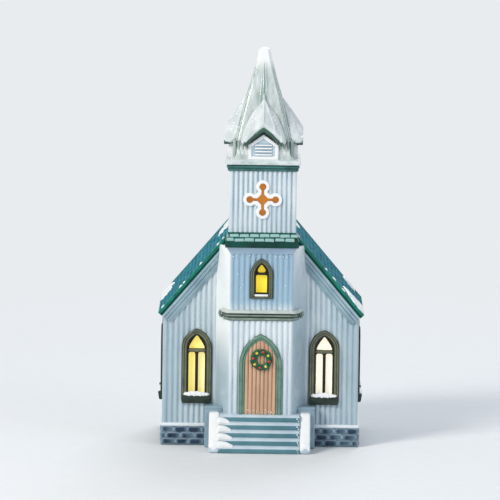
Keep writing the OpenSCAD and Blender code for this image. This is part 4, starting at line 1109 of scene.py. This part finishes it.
def spire_outline(z):
    """One level of the spire: four flat faces with reeds, and reeded corner strips."""
    half = 17.8 - 14.8 * (min(z, 221.4) - SPIRE_Z) / 60.8 - 0.6 * math.sin(math.pi * share(z, 196, 222))
    half *= math.sqrt(max(0.0, 1 - (max(0.0, z - 220.6) / 1.72) ** 2))
    corner = min(1.2 + 0.1 * half, half * 0.45)
    reed = share(z, 217.0, 211.0)
    row = []
    for i in range(33):
        t = -1 + 2 * i / 32
        bump = 0.4 * abs(math.sin(math.pi * t / 0.16)) * (abs(t) < 0.32) * reed
        row.append(((half - corner) * t, half + bump * min(1, half / 6)))
    for i in range(1, 13):
        t = i / 13
        bump = 0.7 * 0.45 * abs(math.sin(3 * math.pi * t)) * reed * min(1, half / 6)
        row.append((half - corner + corner * t + bump, half - corner * t + bump))
    # a row's y is outwards and its x goes clockwise, so the outline runs clockwise seen from above
    return [Vector((x * math.cos(a) + y * math.sin(a), TOWER_Y - x * math.sin(a) + y * math.cos(a), z))
            for a in (math.pi / 2 * k for k in range(4)) for x, y in row]


def reeds_tint(t, place, colour):
    """Paler corner strips, a grey-green wash down the middle of each face, white at the tip."""
    x, y, z = node(t, "SeparateXYZ", [place]).node.outputs
    from_axis = node(t, "Math", [y, TOWER_Y * MM + front_y], operation="SUBTRACT")
    sizes = [node(t, "Math", [length], operation="ABSOLUTE") for length in (x, from_axis)]
    less, more = (node(t, "Math", sizes, operation=kind) for kind in ("MINIMUM", "MAXIMUM"))
    aside = node(t, "Math", [less, more], operation="DIVIDE")
    return sprayed(t, colour, [("#86a099", (aside, 0.4, 0.12, 0.6), (z, 0.214, 0.2, 1.0)),
                               ("#bccac6", (aside, 0.72, 0.84, 0.8), (z, 0.218, 0.195, 1.0)),
                               ("#eef1f2", (z, 0.209, 0.216, 1.0))])


heights = [SPIRE_Z + 1.9 * k for k in range(31)] + [219.6, 220.6, 221.1, 221.5, 221.9, 222.15, 222.28]
spire = loft("spire", [spire_outline(z) for z in heights])
coated(spire, glaze("grey_green_washed_spire_glaze", "#d5dddd", "#67857d", "#e8eded", 0.6, streak=0.12,
                    patch_mm=4.0, reach=1.6, tint=reeds_tint, pooling=0.68))
drum = slab("drum", boarded_box(16.9, TOWER_Y - 16.9, TOWER_Y + 16.9, 0.8, 2.1, 1.0), "z", SPIRE_Z, 10.3)
settle(join([spire, coated(drum, strip_glaze)], "spire"), angle=50)

# %% [markdown]
# ## Snow-covered gablets with louvred openings
# A gablet grows out of each face of the spire. In the mould it is one soft mass of snow: a ridge
# runs down from the spire to the peak, and its sides swell towards the corner reeds. One gablet is
# modelled as a curved sheet, thickened and melted smooth, and then turned to the four sides.

# %% Gablets
GABLET_OUT = Vector((0.75, -0.35, 0.55))
GABLET_EDGE = [(0.3, -9.5, 196.8), (1.6, -10.5, 193.6), (3.4, -11.3, 190.2), (5.7, -12.2, 186.4), (8.2, -13.3, 181.5),
               (10.1, -14.7, 176.5), (11.3, -15.8, 172.6), (11.8, -17.6, 170.8), (11.4, -19.9, 170.9),
               (10.6, -22.0, 172.2)]


def gablet_ridge(t):
    return Vector((0, -9.4 - 12.6 * t, 195.7 - 15.4 * t))


def gablet_edge(t):
    """Lower edge of a gablet's side, from the spire down along the corner reeds to the rake's foot."""
    k = min(int(t * 9), 8)
    return Vector(GABLET_EDGE[k]).lerp(Vector(GABLET_EDGE[k + 1]), t * 9 - k)


def gablet_side(t, w, lift=0.0):
    """A place on a gablet's side: t goes down the slope, w from the ridge to the edge."""
    swell = 1.3 * math.sin(math.pi * w) * min(1.0, max(-0.4, 3.2 * t - 0.9)) * min(1.0, 4 * (1.05 - t))
    return gablet_ridge(t).lerp(gablet_edge(t), w) + GABLET_OUT * (swell + lift)


bpy.ops.mesh.primitive_grid_add(x_subdivisions=24, y_subdivisions=24, size=1)
sheet = new("gablet")
for v in sheet.data.vertices:
    v.co = gablet_side(v.co.x + 0.5, v.co.y + 0.5)
modify(sheet, "MIRROR", use_axis=(True, False, False), merge_threshold=0.02)
edit(sheet)
modify(closed(sheet), "SOLIDIFY", thickness=2.4, offset=0)
for v in sheet.data.vertices:
    v.co.x *= 1 - 0.55 * share(v.co.z, 187, 196)
lips = [sheet]
for k in range(16):
    lips.append(lump("crest", gablet_ridge(0.03 + 0.9 * k / 15) + Vector((0, -0.3, 1.15)), (0.55, 1.1, 0.8)))
for side in (-1, 1):
    for k in range(9):
        spot = gablet_edge(0.5 + 0.05 * k)
        lips.append(lump("lip", (side * spot.x * 0.985, spot.y, spot.z + 0.3), (1.1, 1.3, 1.15)))
    for spread in (0.42, 0.8):
        for k in range(15):
            spot = gablet_side(0.22 + 0.72 * k / 14, spread * (k / 14) ** 0.8, 1.15)
            lips.append(lump("fan", (side * spot.x, spot.y, spot.z), (0.55, 0.9, 0.75)))
gablet = trim(remelt(join(lips, "gablet"), 0.38, 3), (0, -21.95, 0), (0, -1, 0))
coated(gablet, glaze("mottled_gablet_snow_glaze", "#e0e6e8", "#9bb0ac", "#eceff0", 0.42, gloss=0.28, streak=0.4,
                     patch_mm=4.5))
left = [(-10.9, 171.3), (-10.2, 168.9), (-8.9, 169.6), (-8.5, 171.2)]
board = soften(slab("bargeboard", [(0, 180.2)] + left + [(0, 177.4)] + flipped(left), "y", -21.85, 3.6), 0.3, 3)
coated(board, glaze("dark_green_board_glaze", "#2f5a4b", "#123328", "#a9c4b8", 0.6, patch_mm=4.0))
gablet_roof = join([gablet, board], "gablet_roof")

# %% Louvres, and all four sides
louvre = slab("louvre", even([(8.3, 161.5), (8.3, 169.5)], (0, 175.5)), "y", -16.5, -2.7)
edit(louvre)
pick(lambda c, n: n.y < -0.9)
bpy.ops.mesh.inset(thickness=1.5, depth=0)
bpy.ops.mesh.inset(thickness=0.5, depth=-0.9)
coated(soften(done(louvre), 0.22, 3), snow_glaze)
paint(louvre, glaze("pale_blue_louvre_glaze", "#c6d6df", "#86a6bb", "#e9f1f5", 0.3),
      lambda c, n: c.y > -18.75 and abs(c.x) < 6.6 and 163.2 < c.z < 173.5)
slat = block("slat", (-4.7, -0.8, -0.42), (4.7, 0.3, 0.42))
edit(slat)
bpy.ops.transform.rotate(value=0.45, orient_axis="X", center_override=(0, 0, 0))
coated(soften(done(slat), 0.25, 3), snow_glaze)
slats = placed(repeated(slat, 4, (0, 0, 1.75)), (0, -18.4, 164.0))


def on_four_sides(ob, name):
    """Four copies turned about the tower's axis. Those at the sides sag lower."""
    made = [copy_of(ob, name) for k in range(4)]
    for v in (v for side in made[1::2] for v in side.data.vertices if v.co.z > 171):
        out = share(-v.co.y, 9.4, 22.0)
        v.co.z -= (2.2 + 1.6 * out) * (v.co.z - 171) / (25.0 - 15.4 * out)
    made = [placed(one, (0, TOWER_Y, 0), (0, 0, math.pi / 2 * k)) for k, one in enumerate(made)]
    bpy.data.objects.remove(ob)
    return join(made, name)


settle(on_four_sides(gablet_roof, "gablet_roofs"), angle=55)
settle(on_four_sides(join([louvre, slats], "louvre"), "gablet_louvres"))

# %% [markdown]
# ## Snow on the roof
# The snow is thick white glaze laid on in patches that sag down the slope. Each patch is a crowd of
# flattened balls melted together, a half oval at the eave or a whole one higher up. A few white
# beads hang along the verge, partly snow and partly painted highlight, and a roll lies on the ridge.

# %% Roof snow
def snow_patch(u0, u1, v0, v1, thick):
    """A patch on the slope built flat: u is the way down from the ridge, v the depth along the eave."""
    parts = []
    nu, nv = max(3, round((u1 - u0) / 2.2)), max(3, round((v1 - v0) / 2.2))
    for i, j in ((i, j) for i in range(nu + 1) for j in range(nv + 1)):
        u, v = u0 + (u1 - u0) * i / nu, v0 + (v1 - v0) * j / nv
        across, along = 2 * j / nv - 1, (nu - i) / nu if u1 > SLOPE_L - 1 else 2 * i / nu - 1
        if across * across + along * along <= 1.0 + 0.9 * noise.noise(Vector((u * 0.13, v * 0.13, u0))):
            r = dice.uniform(2.9, 4.0)
            u = min(u + dice.uniform(-0.8, 0.8), SLOPE_L - r - 0.1)
            v = min(max(v + dice.uniform(-0.8, 0.8), -2.8 + r), 74.8 - r)
            parts.append(lump("flake", (u, v, -0.55),
                              (r, r * dice.uniform(0.8, 1.1), thick * dice.uniform(1.2, 1.4))))
    return parts


patches, drops = {1: [], -1: []}, {1: [], -1: []}
# side, and as shares of the slope: height of the foot, start in depth, length, width in depth
for side, up, start, length, wide in ((1, 0, 0.06, 0.17, 0.31), (1, 0.11, 0.86, 0.08, 0.08), (-1, 0, 0.64, 0.145, 0.3),
                                      (1, 0.66, 0.56, 0.26, 0.34), (-1, 0.6, 0.5, 0.24, 0.38)):
    foot = SLOPE_L * (1 - up)
    patches[side] += snow_patch(foot - SLOPE_L * length, foot - 0.3, -3 + 78 * start, -3 + 78 * (start + wide),
                                1.0 if up < 0.5 else 0.5)
# white beads along the verge: partly snow, partly painted highlight for glints
for side, spots in ((-1, (28, 33, 37.5, 52, 66, 69, 84)), (1, (27, 29.5, 31, 55, 62, 70, 83.5))):
    for u in spots:
        drops[side].append(lump("drop", (u, -2.3, -0.15), (dice.uniform(1.0, 1.9), 0.62, 0.7)))
        drops[side].append(lump("drop", (u + 0.5, -2.45, -0.6), (dice.uniform(0.6, 1.0), 0.5, 0.8)))
snow = [on_slope(remelt(join(lumps[side], "snow"), voxel, rounds), side)
        for lumps, voxel, rounds in ((patches, 0.4, 22), (drops, 0.25, 3)) for side in (1, -1)]
settle(join(snow, "roof_snow"), snow_glaze, angle=70)

parts = []
for k in range(26):
    y = 25.6 + 48.6 * k / 25
    parts.append(lump("roll", (dice.uniform(-0.3, 0.3), y, RIDGE_Z + 0.05 + dice.uniform(-0.25, 0.1)),
                      (dice.uniform(1.8, 2.4), 2.9, dice.uniform(1.6, 2.0))))
    if dice.random() < 0.45:
        side = dice.choice((-1, 1))
        parts.append(lump("sag", (side * 1.9, y, RIDGE_Z - 1.7), (1.1, dice.uniform(1.0, 1.6), 1.3)))
settle(remelt(join(parts, "ridge_roll"), 0.35, 12), snow_glaze, angle=70)

# %% [markdown]
# ## Steps, cheeks and piers
# Five steps lie between two snowy cheek walls. On a casting the treads slope forward and their
# noses are round, so seen from the front each step is a dark riser under a pale nose. The risers'
# darker slate glaze is painted shade.

# %% Steps
GOING, RISE, FRONT_Y, STEPS_X = 2.75, 4.0, -29, 22.2
nose = [(0, 1.75), (0.3, 2.4), (0.8, 3.05), (1.5, 3.6), (2.2, 3.88), (2.74, 4.0)]
profile = [(-9, 0), (FRONT_Y, 0)]
for k in range(5):
    profile += shifted(nose, FRONT_Y + GOING * k, RISE * k)
profile[-1] = (-9, 20)
steps = coated(soften(slab("steps", profile, "x", -STEPS_X, 2 * STEPS_X), 0.18, 2, 50), tread_glaze)
# painted shade: the front faces of the risers get the darker slate glaze
paint(steps, riser_shade_glaze, lambda c, n: n.y < -0.85 and c.z < 20)
dots = [lump("dot", (21.4 - 0.5 * j + dice.uniform(-0.2, 0.2), FRONT_Y + GOING * k + 0.12, RISE * k + 0.7 + 1.1 * j),
             (0.42, 0.3, dice.uniform(0.3, 0.5))) for k in range(5) for j in range(2)]
dots = trim(coated(join(dots, "dots"), snow_glaze), (0, -28.98, 0), (0, -1, 0))
settle(join([steps, dots], "steps"), angle=50)

# %% Cheeks and step snow
for name, side in (("cheek_left", -1), ("cheek_right", 1)):
    # a sloping core block under snow, with lumps down its back
    core = [(-9, 0), (-28.9, 0), (-28.9, 3.6), (-27.6, 5.4), (-13, 20.2), (-9, 20.5)]
    middle = STEPS_X + 3.05
    parts = [soften(slab("core", core, "x", STEPS_X + 0.1, 5.8), 0.9, 4)]
    for k in range(13):
        y, z = -27.0 + 15.6 * k / 12, 4.6 + 14.6 * k / 12
        parts.append(lump("snow", (middle + dice.uniform(-0.2, 0.2), y, z - 0.6),
                          (3.0, 2.0, 1.7 * dice.uniform(0.95, 1.1))))
    parts.append(lump("foot", (middle, -26.6, 2.6), (3.0, 2.3, 2.6)))
    cheek = coated(mirrored(remelt(join(parts, name), 0.4, 6), side), snow_glaze)
    # bare stone shows on the sides, below the ragged lower edge of the snow; the front of the rounded foot is tinted
    # pale blue-grey as painted shade
    paint(cheek, pier_glaze, lambda c, n: c.y > -27.4 and abs(n.x) > 0.6
          and c.z < (c.y + 29) * 1.05 + 0.6 + 0.9 * math.sin(c.y * 1.15))
    # painted shade: the front of the snowy foot takes the pale blue-grey step glaze
    paint(cheek, tread_glaze, lambda c, n: c.z < 2.4 + 0.7 * math.sin(c.x * 1.3) and c.y < -26.5)
    settle(cheek, angle=70)

parts = []
for k, long in enumerate((8.2, 7.6, 6.9, 6.0)):
    y, z = -26.6 + GOING * k, 4.1 + RISE * k
    for t in (j / 6 for j in range(7)):
        size = 0.45 + 1.95 * math.sqrt(max(0.0, 1 - t * t))
        parts.append(lump("scallop", (-STEPS_X + long * t, y - 1.0 * (1 - t) - 0.2, z + 0.2 - 1.5 * t * t),
                          (1.5 - 0.6 * t, min(1.5, size + 0.3), size)))
scallops = trim(remelt(join(parts, "step_snow"), 0.35, 4), (0, -28.9, 0), (0, -1, 0))
settle(scallops, snow_glaze, angle=70)

# %% Piers
for name, side in (("pier_left", -1), ("pier_right", 1)):
    shaft = soften(block("shaft", (20.6, -9, 0), (30.7, 0.2, 21.6)), 0.9, 4)
    cap = soften(block("cap", (19.9, -9, 21.0), (30.8, 0.2, 23.3)), 0.85, 4)
    settle(mirrored(join([shaft, cap], name), side), pier_glaze)

# %% [markdown]
# ## The lamp in the back
# A moulded plastic socket with spring clips is pushed into a 29 mm hole. It carries a small
# screw-in night-light bulb. These are turned parts, so each is one profile carried round the lamp's
# axis; the thread is the same profile moved along by one pitch in each turn.

# %% Finishes of the lamp parts
def finish(name, base, dark, rough, metallic=0.0, grain_mm=1.0, **sockets):
    """A plain surface with fine grain: two close colours and a roughness that varies with them."""
    m, t, place = blank(name)
    grain = node(t, "TexNoise", [place, 1000.0 / grain_mm, 4.0, 0.6])
    tone = node(t, "Mix", [grain, lin(base), lin(dark)], data_type="RGBA")
    level = node(t, "MapRange", [grain, 0.3, 0.7, rough, rough + 0.12])
    bump = node(t, "Bump", {"Height": grain, "Strength": 0.15, "Distance": 0.05 * MM})
    return skinned(m, {"Base Color": tone, "Roughness": level, "Metallic": metallic, "Normal": bump, **sockets})


moulded_plastic = finish("ivory_moulded_plastic", "#ebe4d2", "#ddd4bf", 0.32, grain_mm=0.6)
drawn_brass = finish("drawn_brass", "#c9a24a", "#b48a35", 0.24, 1.0, 2.0)
nickel_steel = finish("nickel_plated_spring_steel", "#c3c6c8", "#a9adb0", 0.22, 1.0, 3.0)
soft_solder = finish("soft_solder", "#a8acb0", "#8d9296", 0.38, 1.0, 0.5)
black_vitrite = finish("black_vitrite_insulator", "#17161a", "#0c0b0e", 0.12, grain_mm=0.8)
clear_glass = finish("blown_clear_glass", "#fdfdfb", "#f6f8f6", 0.0, grain_mm=12.0,
                     **{"Transmission Weight": 1.0, "IOR": 1.5})
hot_tungsten = finish("hot_tungsten_coil", "#8a8580", "#6d6863", 0.4, 1.0, 0.4,
                      **{"Emission Color": lin("#ffcf7a"), "Emission Strength": 4.0})


# %% Turned parts
THREAD = 2.54


def revolve(name, profile_at, n=72):
    """Carries a closed profile of (radius, y) round the lamp's axis; it may change with the angle."""
    rows = []
    for a in (2 * math.pi * (k % n) / n for k in range(n + 1)):
        rows.append([Vector((LAMP_X + r * math.cos(a), y, LAMP_Z + r * math.sin(a))) for r, y in profile_at(a)])
    return loft(name, rows)


def thread(a, y, root, crest):
    """Radius of a right-hand thread at angle a and depth y."""
    return root + (crest - root) * (0.5 + 0.5 * math.cos(2 * math.pi * y / THREAD + a))


def around(low, high, edge, count, first, y):
    """Small ribs round the lamp's axis. Their box is given as outwards, across and along the axis."""
    ribs = []
    for a in (2 * math.pi * (k + first) / count for k in range(count)):
        ribs.append(soften(block("rib", low, high), edge, 3))
        for v in ribs[-1].data.vertices:
            out, across, along = v.co
            v.co = (LAMP_X + out * math.cos(a) - across * math.sin(a), y + along,
                    LAMP_Z + out * math.sin(a) + across * math.cos(a))
    return ribs


socket_profile = [
    (6.6, 52.3), (6.9, 52.0), (10.5, 52.0), (11.0, 52.5), (11.0, 60.0), (10.7, 60.3), (10.7, 61.3), (11.0, 61.6),
    (11.0, 63.4), (10.7, 63.7), (10.7, 64.7), (11.0, 65.0), (11.0, 71.4), (11.5, 72.1), (16.9, 72.1), (17.6, 72.6),
    (17.6, 74.1), (16.9, 74.6), (9.2, 74.6), (8.3, 75.2), (8.0, 76.2), (7.6, 82.9), (6.6, 84.0), (3.7, 84.0),
    (3.2, 83.5), (3.2, 69.6), (6.6, 69.6)]
grip = around((17.1, -0.75, -0.85), (18.0, 0.75, 0.85), 0.3, 36, 0, 73.35)
fins = around((7.3, -0.5, -3.2), (8.6, 0.5, 1.6), 0.35, 8, 0.5, 77.6)
socket = join([revolve("socket_body", lambda a: socket_profile)] + grip + fins, "socket_body")
settle(socket, moulded_plastic, body="lamp_holder")

depths = [52.6 + 12.9 * k / 50 for k in range(51)]
shell = revolve("screw_shell",
                lambda a: [(6.5, 52.4), (6.5, 65.7)] + [(thread(a, y, 6.42, 6.06), y) for y in reversed(depths)])
settle(shell, drawn_brass, body="lamp_holder")

tongue = [(65.55, 39.6), (65.55, 34.9), (65.9, 34.3), (69.1, 32.1), (69.6, 32.1), (69.6, 34.9), (69.1, 34.8),
          (66.3, 37.4), (66.05, 38), (66.05, 39.6)]
settle(soften(slab("contact_tongue", tongue, "x", 12, 4), 0.16, 3), drawn_brass, body="lamp_holder")

band_profile = [(11.05, 53.6), (11.15, 53.5), (11.55, 53.5), (11.65, 53.7), (11.65, 58.3), (11.55, 58.5),
                (11.15, 58.5), (11.05, 58.4), (11.05, 56)]
seam = block("seam", (LAMP_X - 1.3, 53.9, LAMP_Z - 12.3), (LAMP_X + 1.3, 58.1, LAMP_Z - 11.3))
band = join([revolve("clip_band", lambda a: band_profile), soften(seam, 0.25, 3)], "clip_band")
settle(band, nickel_steel, body="lamp_holder")

for name, side, body in (("clip_leaf_left", -1, "clip_left"), ("clip_leaf_right", 1, "clip_right")):
    line = []
    for t in (k / 16 for k in range(17)):
        bulge = 1.98 * math.sin(math.pi / 2 * min(1, t / 0.58)) ** 1.5 - 0.42 * max(0, (t - 0.58) / 0.42) ** 1.4
        line.append((11.45 + bulge, 58.6 + 12.8 * t))
    outline = [(LAMP_X + side * (x + 0.2), y) for x, y in line]
    outline += [(LAMP_X + side * (x - 0.2), y) for x, y in reversed(line)]
    leaf = soften(slab(name, outline, "z", LAMP_Z - 4, 8), 0.12, 2)
    for v in leaf.data.vertices:
        if v.co.y > 70.2:
            v.co.z = LAMP_Z + (v.co.z - LAMP_Z) * 0.7
    dimple = lump("dimple", (LAMP_X + side * 13.32, 66, LAMP_Z), (0.42, 1.6, 1.6))
    settle(join([leaf, dimple], name), nickel_steel, body=body)

# %% Bulb
blob = [(0, 63.8), (2.4, 63.8), (2.38, 64.3), (2.1, 64.8), (1.5, 65.2), (0.7, 65.38), (0, 65.4)]
settle(revolve("bulb_contact", lambda a: blob), soft_solder, body="bulb_tip")

depths = [53.2 + 8.4 * k / 40 for k in range(41)]
cap = revolve("bulb_cap", lambda a: [(5.35, 52.35), (5.7, 52.3), (5.75, 53.0)]
              + [(thread(a, y, 5.5, 5.9), y) for y in depths]
              + [(5.5, 62.0), (4.9, 62.6), (4.6, 62.8), (3.4, 63.78), (0.5, 63.79), (0.5, 63.3), (5.0, 61.0)])
settle(paint(coated(cap, drawn_brass), black_vitrite, lambda c, n: c.y > 62.6), body="bulb")

# share of the length, share of the radius
pear = [(0.04, 0.56), (0.12, 0.74), (0.22, 0.9), (0.34, 0.99), (0.42, 1.0), (0.52, 0.97), (0.64, 0.86), (0.75, 0.7),
        (0.85, 0.5), (0.93, 0.3), (0.98, 0.13)]
outer = [(5.25, 57.7), (5.25, 52.2)] + [(10.8 * r, 52 - 38 * s) for s, r in pear] + [(0, 14.02)]
inner = [(0, 14.7)] + [(10.1 * r, 52 - 37.3 * s) for s, r in reversed(pear)] + [(4.6, 52.2), (4.6, 57.7)]
settle(revolve("bulb_glass", lambda a: outer + inner, 96), clear_glass, body="bulb", angle=60)

stem_profile = [(0, 41.9), (1.2, 41.95), (1.7, 42.5), (2.1, 45.0), (2.9, 52.5), (3.3, 54.6), (4.5, 56.0), (4.5, 56.3),
                (0, 56.35)]
stem = revolve("bulb_stem", lambda a: [(r * (1 - 0.45 * abs(math.sin(a)) * (y < 44)), y) for r, y in stem_profile])
settle(stem, clear_glass, body="bulb", angle=60)


def wire(name, path, radius):
    """A round wire along a path of points, given from the lamp's axis."""
    bpy.ops.curve.primitive_nurbs_path_add()
    ob = bpy.context.object
    ob.data.splines.clear()
    line = ob.data.splines.new("POLY")
    line.points.add(len(path) - 1)
    for point, (x, y, z) in zip(line.points, path):
        point.co = (LAMP_X + x, y, LAMP_Z + z, 1)
    ob.location = (0, 0, 0)
    ob.data.bevel_depth, ob.data.bevel_resolution, ob.data.use_fill_caps = radius, 2, True
    only(ob)
    bpy.ops.object.convert(target="MESH")
    return new(name)


COIL_R, COIL_TURNS = 0.32, 20
wires = [wire("lead", [(s * 0.8, 43, 0), (s * 1.2, 40.5, 0), (s * 3.4, 33.4, 0), (s * 3.5, 32.55, 0)], 0.16)
         for s in (-1, 1)]
coil = []
for t in (k / 320 for k in range(321)):
    a = 2 * math.pi * COIL_TURNS * t
    coil.append((-3.5 + 7.0 * t, 32.55 - 0.9 * math.sin(math.pi * t) + COIL_R * math.cos(a), COIL_R * math.sin(a)))
settle(join(wires + [wire("coil", coil, 0.07)], "bulb_filament"), hot_tungsten, body="bulb")

# %% [markdown]
# ## The bare floor inside, and the last measurements
# The floor plate with the drain hole was never glazed. It keeps its packed form and only gets the
# bisque finish. At the end the whole model's box and the imported one are printed.

# %% Floor plate and sizes
floor_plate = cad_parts["base_floor"]
for k in range(len(floor_plate.data.materials)):
    floor_plate.data.materials[k] = bisque
final_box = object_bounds()
for title, (low, high) in (("packed", cad_box), ("final", final_box)):
    print(title, [round(c * 1000, 2) for c in low], [round(c * 1000, 2) for c in high])
